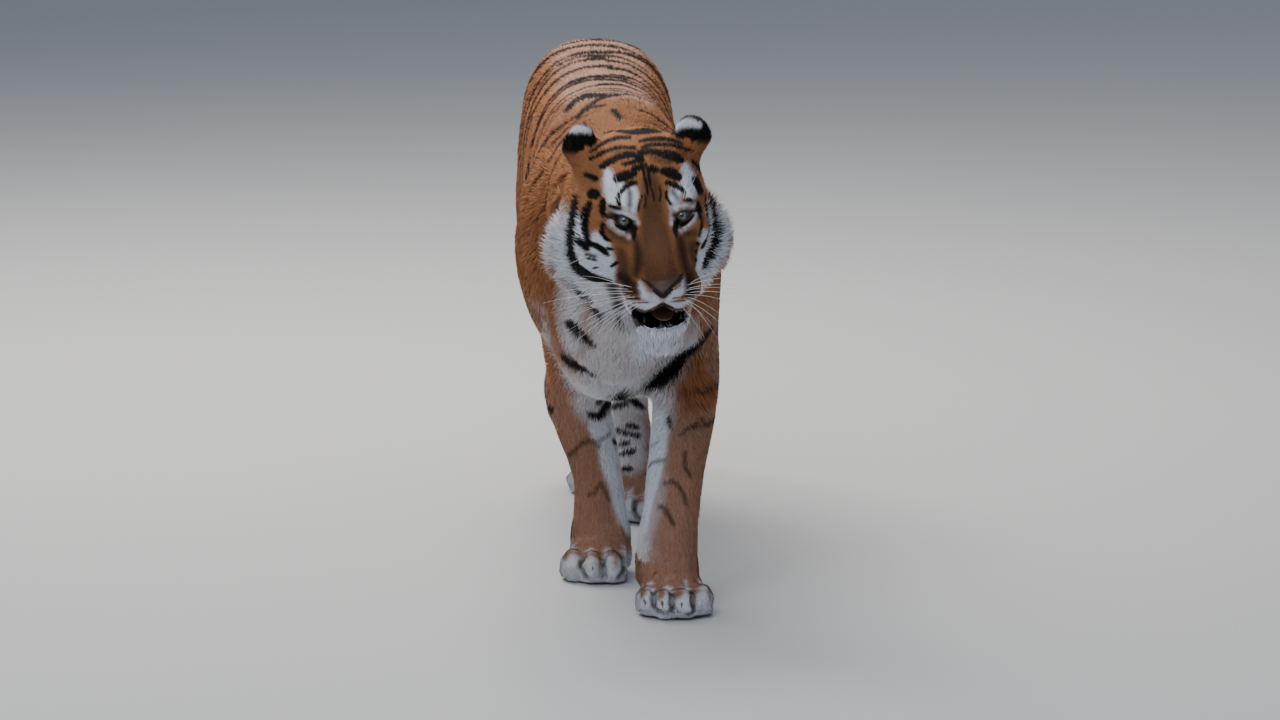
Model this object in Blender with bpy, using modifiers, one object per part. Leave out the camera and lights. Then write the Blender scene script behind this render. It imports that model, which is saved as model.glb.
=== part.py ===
"""A walking adult tiger, life size, as the solids of a museum model.

The body is built whole from lofted limbs and rounded muscle masses, fused and smoothed, and then
parted with thin cuts where its parts are named: head, jaw, neck, trunk, legs and paws. Eyes, ears,
nose, tongue, teeth, claws and the lengths of the tail are pieces of their own.

Axes: the tiger faces -Y, its left side is +X and +Z is up. Metres throughout. The soles stand at
z = 0, and the origin is the middle of the bounding box at that level.
"""
import math

import bmesh
import bpy
import numpy as np
from mathutils import Matrix, Vector

OBJECT_NAME = "tiger"
GAP = 0.0004                      # clearance between pieces that touch

# Overall sizes of an adult male, out to the tips of the coat.
BACK_HEIGHT = 0.928               # top of the trunk between the shoulder blades
CHEST_HALF_WIDTH = 0.148
BELLY_HALF_WIDTH = 0.150
HIP_SWAY = 0.009                  # how far the croup leans over the right hind leg
PAW_HALF_WIDTH = 0.066
EYE_RADIUS = 0.0165
EYE_SPACING = 0.106               # between the two pupils

# Head carriage: the point midway between the eyes, and the turns of the head in degrees.
HEAD_PLACE = Vector((0.047, -0.50, 0.764))
HEAD_PITCH = 21.0                 # nose down
HEAD_YAW = 7.5                    # towards the tiger's left
HEAD_ROLL = 4.0                   # left eye higher

# Where the head is parted from the neck: a plane that leans forward below, clear of the left paw.
NECK_CUT_PLACE = Vector((0.0, -0.325, 0.750))
NECK_CUT_NORMAL = Vector((0.0, -0.950, 0.312))

# Surface of the fused body.
VOXEL = 0.0065
SMOOTH_PASSES = 12
BODY_TRIANGLES = 1700
HEAD_TRIANGLES = 1260

# Each station: x, y, z of the middle, half-size across the body, half-size in the other direction.
FORELEG_RIGHT = (
    (-0.066, 0.045, 0.872, 0.034, 0.060),
    (-0.100, -0.010, 0.800, 0.052, 0.092),
    (-0.132, -0.090, 0.665, 0.060, 0.098),
    (-0.120, -0.035, 0.570, 0.056, 0.098),
    (-0.093, 0.035, 0.490, 0.052, 0.080),
    (-0.072, 0.045, 0.400, 0.058, 0.066),
    (-0.050, 0.062, 0.280, 0.056, 0.053),
    (-0.028, 0.073, 0.180, 0.050, 0.045),
    (-0.023, 0.070, 0.095, 0.056, 0.047),
    (-0.022, 0.050, 0.045, 0.054, 0.050),
)
FORELEG_LEFT = (
    (0.066, 0.015, 0.862, 0.034, 0.060),
    (0.102, -0.060, 0.780, 0.052, 0.090),
    (0.136, -0.155, 0.650, 0.060, 0.095),
    (0.140, -0.120, 0.565, 0.058, 0.092),
    (0.134, -0.060, 0.485, 0.064, 0.080),
    (0.133, -0.105, 0.390, 0.065, 0.066),
    (0.116, -0.180, 0.275, 0.059, 0.054),
    (0.092, -0.250, 0.180, 0.054, 0.047),
    (0.080, -0.292, 0.105, 0.061, 0.048),
    (0.084, -0.310, 0.050, 0.056, 0.052),
)
HINDLEG_LEFT = (
    (0.072, 0.840, 0.810, 0.055, 0.090),
    (0.090, 0.840, 0.710, 0.062, 0.135),
    (0.090, 0.755, 0.590, 0.062, 0.130),
    (0.080, 0.670, 0.500, 0.056, 0.090),
    (0.070, 0.690, 0.415, 0.058, 0.072),
    (0.062, 0.735, 0.330, 0.047, 0.052),
    (0.054, 0.760, 0.262, 0.041, 0.046),
    (0.060, 0.710, 0.170, 0.042, 0.036),
    (0.080, 0.670, 0.090, 0.044, 0.037),
    (0.090, 0.640, 0.045, 0.046, 0.046),
)
HINDLEG_RIGHT = (
    (-0.072, 0.860, 0.810, 0.055, 0.090),
    (-0.094, 0.880, 0.705, 0.062, 0.135),
    (-0.108, 0.850, 0.590, 0.060, 0.125),
    (-0.102, 0.815, 0.490, 0.050, 0.086),
    (-0.082, 0.890, 0.415, 0.046, 0.066),
    (-0.062, 0.975, 0.335, 0.038, 0.046),
    (-0.058, 1.030, 0.265, 0.038, 0.044),
    (-0.068, 1.015, 0.180, 0.043, 0.037),
    (-0.036, 0.990, 0.105, 0.042, 0.037),
    (-0.004, 0.960, 0.050, 0.045, 0.044),
)
TAIL = (
    (0.000, 0.985, 0.800, 0.050, 0.050),
    (0.000, 1.070, 0.755, 0.042, 0.042),
    (0.002, 1.130, 0.640, 0.036, 0.036),
    (0.006, 1.165, 0.500, 0.034, 0.034),
    (0.010, 1.205, 0.370, 0.033, 0.033),
    (0.014, 1.290, 0.265, 0.032, 0.032),
    (0.016, 1.390, 0.235, 0.031, 0.031),
    (0.014, 1.480, 0.275, 0.029, 0.029),
    (0.010, 1.535, 0.350, 0.018, 0.018),
)
# The trunk: y, half-width, height of the back, height of the belly, height of the widest line.
TRUNK = (
    (-0.250, 0.095, 0.845, 0.500, 0.700),
    (-0.180, 0.124, 0.880, 0.400, 0.680),
    (-0.090, 0.140, 0.910, 0.354, 0.665),
    (0.020, CHEST_HALF_WIDTH, BACK_HEIGHT, 0.350, 0.660),
    (0.150, 0.148, 0.918, 0.364, 0.655),
    (0.330, 0.149, 0.897, 0.388, 0.650),
    (0.500, BELLY_HALF_WIDTH, 0.898, 0.400, 0.650),
    (0.660, 0.154, 0.915, 0.430, 0.680),
    (0.800, 0.152, 0.930, 0.496, 0.735),
    (0.920, 0.134, 0.910, 0.570, 0.740),
    (1.000, 0.098, 0.862, 0.620, 0.735),
    (1.045, 0.050, 0.805, 0.670, 0.730),
)
# The head in its own axes: distance forward of the eyes, half-width, top, bottom, widest line.
HEAD = (
    (-0.250, 0.112, 0.030, -0.170, -0.080),
    (-0.200, 0.136, 0.075, -0.190, -0.090),
    (-0.150, 0.142, 0.096, -0.200, -0.090),
    (-0.100, 0.136, 0.093, -0.205, -0.080),
    (-0.060, 0.122, 0.078, -0.205, -0.070),
    (-0.025, 0.104, 0.055, -0.205, -0.065),
    (0.008, 0.080, 0.028, -0.210, -0.075),
    (0.045, 0.066, 0.008, -0.222, -0.088),
    (0.080, 0.061, -0.010, -0.230, -0.092),
    (0.112, 0.055, -0.026, -0.218, -0.092),
    (0.136, 0.043, -0.040, -0.145, -0.085),
    (0.152, 0.025, -0.052, -0.105, -0.080),
)
# Each paw: x and y of its middle, and its size against the model paw.
PAWS = {
    "fore_left": (0.092, -0.345, 1.03),
    "fore_right": (-0.024, 0.015, 1.12),
    "hind_left": (0.092, 0.605, 0.90),
    "hind_right": (0.002, 0.925, 0.90),
}
# Each toe: its place across the paw, as a share of the half-width, and forward of the middle.
TOES = ((-0.72, 0.028), (-0.26, 0.052), (0.26, 0.052), (0.72, 0.028))
PAW_CUT_HEIGHT = 0.100
# Boxes that part forearm or shank at the elbow or knee, then the ovals that part the joint above,
# each as middle and half-sizes.
LEG_REGIONS = {
    "fore_left": (((0.170, -0.200, 0.170), (0.150, 0.240, 0.190)),
                  ((0.270, -0.075, 0.600), (0.165, 0.190, 0.270))),
    "fore_right": (((-0.120, 0.090, 0.170), (0.155, 0.190, 0.190)),
                   ((-0.270, -0.010, 0.600), (0.165, 0.190, 0.270))),
    "hind_left": (((0.130, 0.710, 0.195), (0.120, 0.180, 0.200)),
                  ((0.220, 0.780, 0.570), (0.170, 0.235, 0.250))),
    "hind_right": (((-0.080, 1.000, 0.195), (0.130, 0.160, 0.200)),
                   ((-0.220, 0.860, 0.570), (0.170, 0.235, 0.250))),
}
# Boxes that part the neck and the rump from the trunk.
TRUNK_BOXES = (
    ("neck", (0.0, -0.450, 0.750), (0.300, 0.230, 0.300)),
    ("rump", (0.0, 1.000, 0.800), (0.300, 0.320, 0.420)),
)
# The hollow of the mouth and the ears, in the head's axes.
MOUTH_PLACE = (0.0, 0.090, -0.136)
MOUTH_RADII = (0.053, 0.074, 0.021)
MOUTH_TIP = -6.0                  # degrees, front down
EYE_DEPTH = -0.004                # middle of the ball, forward of the line between the pupils
EAR_PLACE = (0.108, -0.150, 0.088)
EAR_RADII = (0.040, 0.022, 0.046)

# Colour and roughness of each kind of surface.
SURFACES = {
    "orange_coat": ((0.42, 0.17, 0.055), 0.75),
    "pale_coat": ((0.62, 0.55, 0.48), 0.80),
    "black_coat": ((0.018, 0.015, 0.014), 0.75),
    "nose_leather": ((0.30, 0.14, 0.11), 0.45),
    "tongue_flesh": ((0.36, 0.15, 0.13), 0.45),
    "tooth_ivory": ((0.72, 0.64, 0.48), 0.35),
    "claw_horn": ((0.13, 0.10, 0.08), 0.40),
    "eye_gloss": ((0.30, 0.33, 0.18), 0.08),
}


def clear_scene():
    for thing in list(bpy.data.objects):
        bpy.data.objects.remove(thing, do_unlink=True)


def make_collection(name):
    collection = bpy.data.collections.new(name)
    bpy.context.scene.collection.children.link(collection)
    return collection


def make_material(name, surface):
    """The material of one piece, in the colour and roughness of its kind of surface."""
    colour, roughness = SURFACES[surface]
    material = bpy.data.materials.new("%s_%s" % (name, surface))
    material.use_nodes = True
    shader = material.node_tree.nodes["Principled BSDF"]
    shader.inputs["Base Color"].default_value = (*colour, 1.0)
    shader.inputs["Roughness"].default_value = roughness
    shader.inputs["Metallic"].default_value = 0.0
    return material


def make_object(name, mesh, collection):
    thing = bpy.data.objects.new(name, mesh)
    collection.objects.link(thing)
    return thing


def settle(thing):
    """Turns the object's modifiers into its own mesh."""
    bpy.context.view_layer.update()
    graph = bpy.context.evaluated_depsgraph_get()
    mesh = bpy.data.meshes.new_from_object(thing.evaluated_get(graph))
    thing.modifiers.clear()
    thing.data = mesh
    return thing


def spread(stations, count):
    """Rows of the table read at `count` places along a smooth curve through all of its stations."""
    table = np.array(stations, float)
    last = len(table) - 1
    rows = []
    for place in np.linspace(0.0, last, count):
        start = min(int(place), last - 1)
        t = place - start
        before, first = table[max(start - 1, 0)], table[start]
        second, after = table[start + 1], table[min(start + 2, last)]
        rows.append(0.5 * (2 * first + (second - before) * t
                           + (2 * before - 5 * first + 4 * second - after) * t * t
                           + (3 * first - before - 3 * second + after) * t ** 3))
    return rows


def skin_rings(name, rings, collection):
    """A closed loft: one ring of points after another, with a point at each end."""
    shape = bmesh.new()
    loops = [[shape.verts.new(point) for point in ring] for ring in rings]
    for one, two in zip(loops, loops[1:]):
        for i in range(len(one)):
            j = (i + 1) % len(one)
            shape.faces.new((one[i], one[j], two[j], two[i]))
    shape.faces.new(list(reversed(loops[0])))
    shape.faces.new(loops[-1])
    shape.normal_update()
    bmesh.ops.recalc_face_normals(shape, faces=shape.faces)
    mesh = bpy.data.meshes.new(name)
    shape.to_mesh(mesh)
    shape.free()
    return make_object(name, mesh, collection)


def tube(name, stations, collection, steps=30, around=20):
    """A limb: oval rings square to the line through its stations, with rounded ends."""
    rows = spread(stations, steps)
    rings = []
    for index, row in enumerate(rows):
        behind = Vector(rows[max(index - 1, 0)][:3])
        ahead = Vector(rows[min(index + 1, steps - 1)][:3])
        along = (ahead - behind).normalized()
        across = (Vector((1, 0, 0)) - along * along.x).normalized()
        other = along.cross(across)
        middle = Vector(row[:3])
        for shrink, shift in end_rounding(index, steps):
            centre = middle + along * shift * row[4]
            rings.append([centre + across * math.cos(turn) * row[3] * shrink
                          + other * math.sin(turn) * row[4] * shrink
                          for turn in turns(around)])
    return skin_rings(name, rings, collection)


def end_rounding(index, steps):
    """The shrinkings and shifts that close the first and last ring of a tube as a dome."""
    dome = [(math.cos(math.radians(a)), math.sin(math.radians(a))) for a in (35, 68)]
    if index == 0:
        return [(shrink, -shift) for shrink, shift in reversed(dome)] + [(1.0, 0.0)]
    if index == steps - 1:
        return [(1.0, 0.0)] + dome
    return [(1.0, 0.0)]


def turns(around):
    return [2 * math.pi * step / around for step in range(around)]


def barrel(name, table, collection, place, steps=44, around=36, squareness=2.5):
    """A loft of egg-shaped upright rings, each with its own width, top line and bottom line."""
    rings = []
    for along, half_width, top, bottom, widest in spread(table, steps):
        ring = []
        for turn in turns(around):
            across = math.copysign(abs(math.cos(turn)) ** (2 / squareness), math.cos(turn))
            up = math.copysign(abs(math.sin(turn)) ** (2 / squareness), math.sin(turn))
            reach = top - widest if up > 0 else widest - bottom
            ring.append(place(half_width * across, along, widest + reach * up))
        rings.append(ring)
    return skin_rings(name, rings, collection)


def ellipsoid(name, place, radii, collection, turn=None, detail=2):
    shape = bmesh.new()
    bmesh.ops.create_icosphere(shape, subdivisions=detail, radius=1.0)
    form = (turn.to_4x4() if turn else Matrix.Identity(4)) @ Matrix.Diagonal((*radii, 1.0))
    shape.transform(Matrix.Translation(place) @ form)
    shape.normal_update()
    bmesh.ops.recalc_face_normals(shape, faces=shape.faces)
    mesh = bpy.data.meshes.new(name)
    shape.to_mesh(mesh)
    shape.free()
    return make_object(name, mesh, collection)


def box(name, place, halves, collection, turn=None):
    """A cutter: a rotated box given by its middle and its half-sizes."""
    shape = bmesh.new()
    bmesh.ops.create_cube(shape, size=2.0)
    form = (turn.to_4x4() if turn else Matrix.Identity(4)) @ Matrix.Diagonal((*halves, 1.0))
    shape.transform(Matrix.Translation(place) @ form)
    shape.normal_update()
    bmesh.ops.recalc_face_normals(shape, faces=shape.faces)
    mesh = bpy.data.meshes.new(name)
    shape.to_mesh(mesh)
    shape.free()
    return make_object(name, mesh, collection)


def boolean(body, operation, cutter):
    modifier = body.modifiers.new(operation.lower(), "BOOLEAN")
    modifier.operation = operation
    modifier.solver = "EXACT"
    modifier.object = cutter
    return settle(body)


def head_turn():
    """Rotation from the head's own axes (side, forward, up) to the world's."""
    axes = Matrix(((1, 0, 0), (0, -1, 0), (0, 0, 1)))
    pitch = Matrix.Rotation(math.radians(HEAD_PITCH), 3, "X")
    yaw = Matrix.Rotation(math.radians(HEAD_YAW), 3, "Z")
    roll = Matrix.Rotation(math.radians(-HEAD_ROLL), 3, "Y")
    return yaw @ pitch @ roll @ axes


def head_point(side, forward, up):
    return HEAD_PLACE + head_turn() @ Vector((side, forward, up))


def head_blob(name, place, radii, collection, tip=0.0):
    """An ellipsoid given in the head's axes; tip turns it about the side axis, in degrees."""
    turn = head_turn() @ Matrix.Rotation(math.radians(tip), 3, "X")
    return ellipsoid(name, head_point(*place), radii, collection, turn)


def head_forms(collection):
    forms = [
        barrel("head_form", HEAD, collection, head_point, squareness=2.1),
        head_blob("crown", (0, -0.150, 0.050), (0.090, 0.080, 0.050), collection),
        head_blob("bridge", (0, 0.070, -0.034), (0.041, 0.085, 0.031), collection, -17),
        head_blob("nose_tip", (0, 0.135, -0.062), (0.034, 0.028, 0.026), collection, -10),
        head_blob("chin", (0, 0.080, -0.208), (0.048, 0.044, 0.030), collection, 8),
    ]
    for side in (-1, 1):
        forms += [
            head_blob("cheekbone", (side * 0.068, -0.030, -0.036), (0.052, 0.062, 0.034),
                      collection),
            head_blob("ruff", (side * 0.098, -0.130, -0.122), (0.088, 0.066, 0.104), collection),
            head_blob("ruff_low", (side * 0.078, -0.100, -0.172), (0.066, 0.062, 0.066),
                      collection),
            head_blob("whisker_pad", (side * 0.035, 0.092, -0.090), (0.042, 0.052, 0.034),
                      collection),
            head_blob("brow_ridge", (side * 0.050, -0.022, 0.024), (0.034, 0.030, 0.022),
                      collection),
            head_blob("ear_root", (side * 0.094, -0.150, 0.056), (0.036, 0.034, 0.042),
                      collection),
        ]
    return forms


def paw_forms(name, collection):
    """Palm, wrist heel and four toes of one paw, a little below floor level before trimming."""
    x, y, size = PAWS[name]
    half = PAW_HALF_WIDTH * size
    forms = [ellipsoid("palm", (x, y + 0.020, 0.034), (half * 0.86, 0.062 * size, 0.046 * size),
                       collection)]
    for side, forward in TOES:
        place = (x + side * half, y - forward * size, 0.026)
        forms.append(ellipsoid("toe", place, (half * 0.36, 0.044 * size, 0.036 * size),
                               collection))
    return forms


def muscle_forms(collection):
    """Rounded masses that give the shoulders, arms, haunches, throat and chest their outline."""
    masses = (
        ((-0.128, -0.020, 0.640), (0.062, 0.100, 0.110)),
        ((0.130, -0.080, 0.630), (0.062, 0.100, 0.110)),
        ((-0.102, 0.100, 0.530), (0.046, 0.060, 0.080)),
        ((0.128, 0.000, 0.530), (0.048, 0.062, 0.080)),
        ((0.098, 0.900, 0.690), (0.066, 0.110, 0.130)),
        ((-0.098, 0.920, 0.690), (0.066, 0.110, 0.130)),
        ((0.006, -0.250, 0.590), (0.106, 0.092, 0.118)),
        ((0.0, -0.205, 0.530), (0.104, 0.080, 0.125)),
        ((0.0, -0.110, 0.490), (0.100, 0.120, 0.085)),
    )
    return [ellipsoid("muscle", place, radii, collection) for place, radii in masses]


def neck_form(collection):
    stations = (
        (0.000, 0.060, 0.770, 0.120, 0.140),
        (0.000, -0.080, 0.760, 0.138, 0.160),
        (0.006, -0.200, 0.745, 0.140, 0.160),
        (0.014, -0.310, 0.735, 0.142, 0.155),
        (0.020, -0.390, 0.735, 0.140, 0.145),
    )
    return tube("neck_form", stations, collection)


def fuse(forms, name, collection):
    """Joins the overlapping forms into one smooth closed surface."""
    joined = bmesh.new()
    for form in forms:
        joined.from_mesh(form.data)
        bpy.data.objects.remove(form, do_unlink=True)
    mesh = bpy.data.meshes.new(name)
    joined.to_mesh(mesh)
    joined.free()
    body = make_object(name, mesh, collection)
    remesh = body.modifiers.new("fuse", "REMESH")
    remesh.mode = "VOXEL"
    remesh.voxel_size = VOXEL
    smooth = body.modifiers.new("soften", "SMOOTH")
    smooth.factor = 0.6
    smooth.iterations = SMOOTH_PASSES
    return settle(body)


def half_of(body, name, point, normal, triangles, collection):
    """The side of the body that the normal points to, thinned to fewer triangles and capped."""
    shape = bmesh.new()
    shape.from_mesh(body.data)
    bmesh.ops.bisect_plane(shape, geom=shape.verts[:] + shape.edges[:] + shape.faces[:],
                           plane_co=point + normal * GAP / 2, plane_no=normal, clear_inner=True)
    mesh = bpy.data.meshes.new(name)
    shape.to_mesh(mesh)
    shape.free()
    piece = make_object(name, mesh, collection)
    mesh.calc_loop_triangles()
    reduce = piece.modifiers.new("thin_out", "DECIMATE")
    reduce.ratio = triangles / len(mesh.loop_triangles)
    reduce.use_collapse_triangulate = True
    settle(piece)
    shape = bmesh.new()
    shape.from_mesh(piece.data)
    for vertex in shape.verts:
        if vertex.is_boundary:
            depth = (vertex.co - point).dot(normal)
            vertex.co -= normal * (depth - GAP / 2)
    bmesh.ops.holes_fill(shape, edges=[edge for edge in shape.edges if edge.is_boundary])
    bmesh.ops.triangulate(shape, faces=[face for face in shape.faces if len(face.verts) > 3])
    shape.normal_update()
    bmesh.ops.recalc_face_normals(shape, faces=shape.faces)
    shape.to_mesh(piece.data)
    shape.free()
    return piece


def trunk_point(across, along, height):
    """A point of the trunk: the croup sways over the hind leg that stands."""
    return Vector((across - HIP_SWAY * max(along, 0.0) ** 2, along, height))


def grown(source, name, distance, collection):
    """A copy of a piece a little larger all over, for cutting its seat in a neighbour."""
    mesh = source.data.copy()
    moved = [vertex.co + vertex.normal * distance for vertex in mesh.vertices]
    for vertex, place in zip(mesh.vertices, moved):
        vertex.co = place
    return make_object(name, mesh, collection)


def keep_largest(piece):
    """Drops the slivers that a cut may leave beside the piece itself."""
    shape = bmesh.new()
    shape.from_mesh(piece.data)
    islands = []
    unseen = set(shape.verts)
    while unseen:
        island, edge_of_island = set(), [unseen.pop()]
        while edge_of_island:
            vertex = edge_of_island.pop()
            island.add(vertex)
            for edge in vertex.link_edges:
                other = edge.other_vert(vertex)
                if other in unseen:
                    unseen.remove(other)
                    edge_of_island.append(other)
        islands.append(island)
    islands.sort(key=len)
    loose = [vertex for island in islands[:-1] for vertex in island]
    bmesh.ops.delete(shape, geom=loose, context="VERTS")
    shape.to_mesh(piece.data)
    shape.free()
    return piece


def part_off(body, name, place, halves, collection, tools, turn=None, region=box):
    """Cuts the part of the body inside a region off as a piece of its own, a thin cut away."""
    piece = make_object(name, body.data.copy(), collection)
    cutter = region("region", place, halves, tools, turn)
    boolean(piece, "INTERSECT", cutter)
    keep_largest(piece)
    wider = region("wider_region", place, [half + GAP for half in halves], tools, turn)
    boolean(body, "DIFFERENCE", wider)
    bpy.data.objects.remove(cutter)
    bpy.data.objects.remove(wider)
    return piece


def seat(body, piece, tools):
    """Cuts the seat of a piece into the body."""
    cutter = grown(piece, "seat_cutter", GAP, tools)
    boolean(body, "DIFFERENCE", cutter)
    bpy.data.objects.remove(cutter)


def finish(piece, surface):
    piece.data.materials.clear()
    piece.data.materials.append(make_material(piece.name, surface))
    piece.data.shade_smooth()
    return piece


def eyes(head, parts, tools):
    """Two balls in spherical seats, each behind the opening of its lids."""
    for label, side in (("left", 1), ("right", -1)):
        place = head_point(side * EYE_SPACING / 2, EYE_DEPTH, 0.0)
        opening = head_blob("orbit", (side * EYE_SPACING / 2, EYE_DEPTH + 0.026, -0.001),
                            (0.021, 0.024, 0.0165), tools)
        boolean(head, "DIFFERENCE", opening)
        bpy.data.objects.remove(opening)
        ball = ellipsoid("eye_" + label, place, (EYE_RADIUS,) * 3, parts, detail=3)
        seat(head, ball, tools)
        finish(ball, "eye_gloss")


def nose(head, parts, tools):
    pad = head_blob("nose_pad", (0, 0.149, -0.066), (0.035, 0.021, 0.0195), parts, -12)
    seat(head, pad, tools)
    finish(pad, "nose_leather")


def mouth(head, parts, tools):
    """The slightly open mouth, the lower jaw below it, the tongue and the lower canines."""
    gape = head_blob("gape", MOUTH_PLACE, MOUTH_RADII, tools, MOUTH_TIP)
    boolean(head, "DIFFERENCE", gape)
    bpy.data.objects.remove(gape)
    side, forward, up = MOUTH_PLACE
    place = head_point(side, forward + 0.040, up - 0.100)
    jaw = part_off(head, "lower_jaw", place, (0.120, 0.085, 0.100), parts, tools, head_turn())
    finish(jaw, "pale_coat")
    tongue = head_blob("tongue", (side, forward - 0.004, up - MOUTH_RADII[2] * 0.35),
                       (0.026, 0.050, 0.0070), parts, MOUTH_TIP)
    finish(tongue, "tongue_flesh")
    for label, across in (("left", 1), ("right", -1)):
        root = head_point(across * 0.034, 0.098, up - 0.020)
        tooth = cone("canine_lower_" + label, root, 0.0052, 0.0012, 0.026, parts, head_turn())
        seat(jaw, tooth, tools)
        finish(tooth, "tooth_ivory")


def cone(name, place, base_radius, tip_radius, length, collection, turn, sides=10):
    """A tapering peg: its base at the place given and its axis along the turn's third axis."""
    shape = bmesh.new()
    bmesh.ops.create_cone(shape, cap_ends=True, segments=sides, radius1=base_radius,
                          radius2=tip_radius, depth=length)
    shape.transform(Matrix.Translation((0, 0, length / 2)))
    shape.transform(Matrix.Translation(place) @ turn.to_4x4())
    shape.normal_update()
    bmesh.ops.recalc_face_normals(shape, faces=shape.faces)
    mesh = bpy.data.meshes.new(name)
    shape.to_mesh(mesh)
    shape.free()
    return make_object(name, mesh, collection)


def ears(head, parts, tools):
    """Round cupped ears, turned so that their backs face forward."""
    shell = grown(head, "head_shell", GAP, tools)
    for label, side in (("left", 1), ("right", -1)):
        lean = head_turn() @ Matrix.Rotation(math.radians(-side * 16), 3, "Y")
        lean = lean @ Matrix.Rotation(math.radians(side * 22), 3, "Z")
        place = head_point(side * EAR_PLACE[0], EAR_PLACE[1], EAR_PLACE[2])
        ear = ellipsoid("ear_" + label, place, EAR_RADII, parts, lean)
        hollow_place = place + lean @ Vector((side * 0.004, -0.020, 0.006))
        hollow = ellipsoid("ear_hollow", hollow_place,
                           (EAR_RADII[0] * 0.80, EAR_RADII[1] * 1.05, EAR_RADII[2] * 0.82),
                           tools, lean)
        boolean(ear, "DIFFERENCE", hollow)
        boolean(ear, "DIFFERENCE", shell)
        keep_largest(ear)
        bpy.data.objects.remove(hollow)
        finish(ear, "black_coat")
    bpy.data.objects.remove(shell)


def claws(paw, label, parts, tools):
    """Four claws, mostly drawn back into the toes, with their tips showing at the front."""
    x, y, size = PAWS[label]
    half = PAW_HALF_WIDTH * size
    down = Matrix.Rotation(math.radians(112), 3, "X")
    for number, (side, forward) in enumerate(TOES, 1):
        place = Vector((x + side * half, y - (forward + 0.027) * size, 0.034 * size))
        claw = cone("claw_%s_%d" % (label, number), place, 0.0044, 0.0012, 0.021, parts, down, 6)
        seat(paw, claw, tools)
        finish(claw, "claw_horn")


def legs(body, parts, tools):
    """Each leg in shoulder or haunch, middle length and paw, parted at the joints."""
    for label, table in (("fore_left", FORELEG_LEFT), ("fore_right", FORELEG_RIGHT),
                         ("hind_left", HINDLEG_LEFT), ("hind_right", HINDLEG_RIGHT)):
        x, y, size = PAWS[label]
        names = ("upper_arm", "forearm") if label.startswith("fore") else ("thigh", "shank")
        paw = part_off(body, "paw_" + label, Vector((x, y, 0.0)),
                       (0.095, 0.105, PAW_CUT_HEIGHT), parts, tools)
        claws(paw, label, parts, tools)
        finish(paw, "pale_coat")
        middle, joint = LEG_REGIONS[label]
        lower = part_off(body, "%s_%s" % (names[1], label), Vector(middle[0]), middle[1],
                         parts, tools)
        finish(lower, "orange_coat")
        upper = part_off(body, "%s_%s" % (names[0], label), Vector(joint[0]), joint[1],
                         parts, tools, region=ellipsoid)
        finish(upper, "orange_coat")


def tail(body, parts, tools):
    """Four lengths of tail, the first seated on the rump and the last with a rounded tip."""
    rows = spread(TAIL, 33)
    shell = grown(body, "rump_shell", GAP, tools)
    for number in range(4):
        piece = tube("tail_%d" % (number + 1), rows[number * 8:number * 8 + 9], parts,
                     steps=6, around=9)
        if number == 0:
            boolean(piece, "DIFFERENCE", shell)
            keep_largest(piece)
        else:
            seat_from = grown(earlier, "tail_seat", GAP, tools)
            boolean(piece, "DIFFERENCE", seat_from)
            keep_largest(piece)
            bpy.data.objects.remove(seat_from)
        finish(piece, "orange_coat")
        earlier = piece
    bpy.data.objects.remove(shell)


def level_soles(body, tools):
    """Trims everything under floor level, which leaves each paw a small flat."""
    floor = box("floor_cutter", Vector((0, 0.4, -0.1)), (1.0, 2.0, 0.1), tools)
    boolean(body, "DIFFERENCE", floor)
    bpy.data.objects.remove(floor)


def centre_origin(parts):
    """Moves every piece so that the origin is the middle of the bounding box at floor level."""
    points = np.array([vertex.co for piece in parts.objects for vertex in piece.data.vertices])
    low, high = points.min(axis=0), points.max(axis=0)
    shift = Vector((-(low[0] + high[0]) / 2, -(low[1] + high[1]) / 2, 0.0))
    for piece in parts.objects:
        piece.data.transform(Matrix.Translation(shift))


def main():
    clear_scene()
    parts = make_collection(OBJECT_NAME)
    tools = make_collection("cutters")
    forms = [barrel("trunk_form", TRUNK, tools, trunk_point), neck_form(tools)]
    forms += [tube("leg_form", stations, tools)
              for stations in (FORELEG_RIGHT, FORELEG_LEFT, HINDLEG_LEFT, HINDLEG_RIGHT)]
    forms += muscle_forms(tools) + head_forms(tools)
    for name in PAWS:
        forms += paw_forms(name, tools)
    whole = fuse(forms, "whole", tools)
    forward = NECK_CUT_NORMAL.normalized()
    head = half_of(whole, "head", NECK_CUT_PLACE, forward, HEAD_TRIANGLES, parts)
    body = half_of(whole, "trunk", NECK_CUT_PLACE, -forward, BODY_TRIANGLES, parts)
    bpy.data.objects.remove(whole)

    mouth(head, parts, tools)
    eyes(head, parts, tools)
    nose(head, parts, tools)
    ears(head, parts, tools)
    finish(head, "orange_coat")

    level_soles(body, tools)
    tail(body, parts, tools)
    legs(body, parts, tools)
    for name, place, halves in TRUNK_BOXES:
        finish(part_off(body, name, Vector(place), halves, parts, tools),
               "orange_coat")
    finish(keep_largest(body), "orange_coat")
    centre_origin(parts)


main()
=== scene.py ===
"""A walking tiger, life size, dressed with skin, coat, eyes, claws and whiskers.

The tiger faces -Y, its left side is +X and it stands on the floor at z = 0. Sizes are in metres,
apart from the strokes of the markings and the lids, which are in millimetres and say so.
"""
import math

import bmesh
import bpy
import numpy as np
from mathutils import Matrix, Vector
from mathutils.bvhtree import BVHTree
from mathutils.kdtree import KDTree


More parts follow.
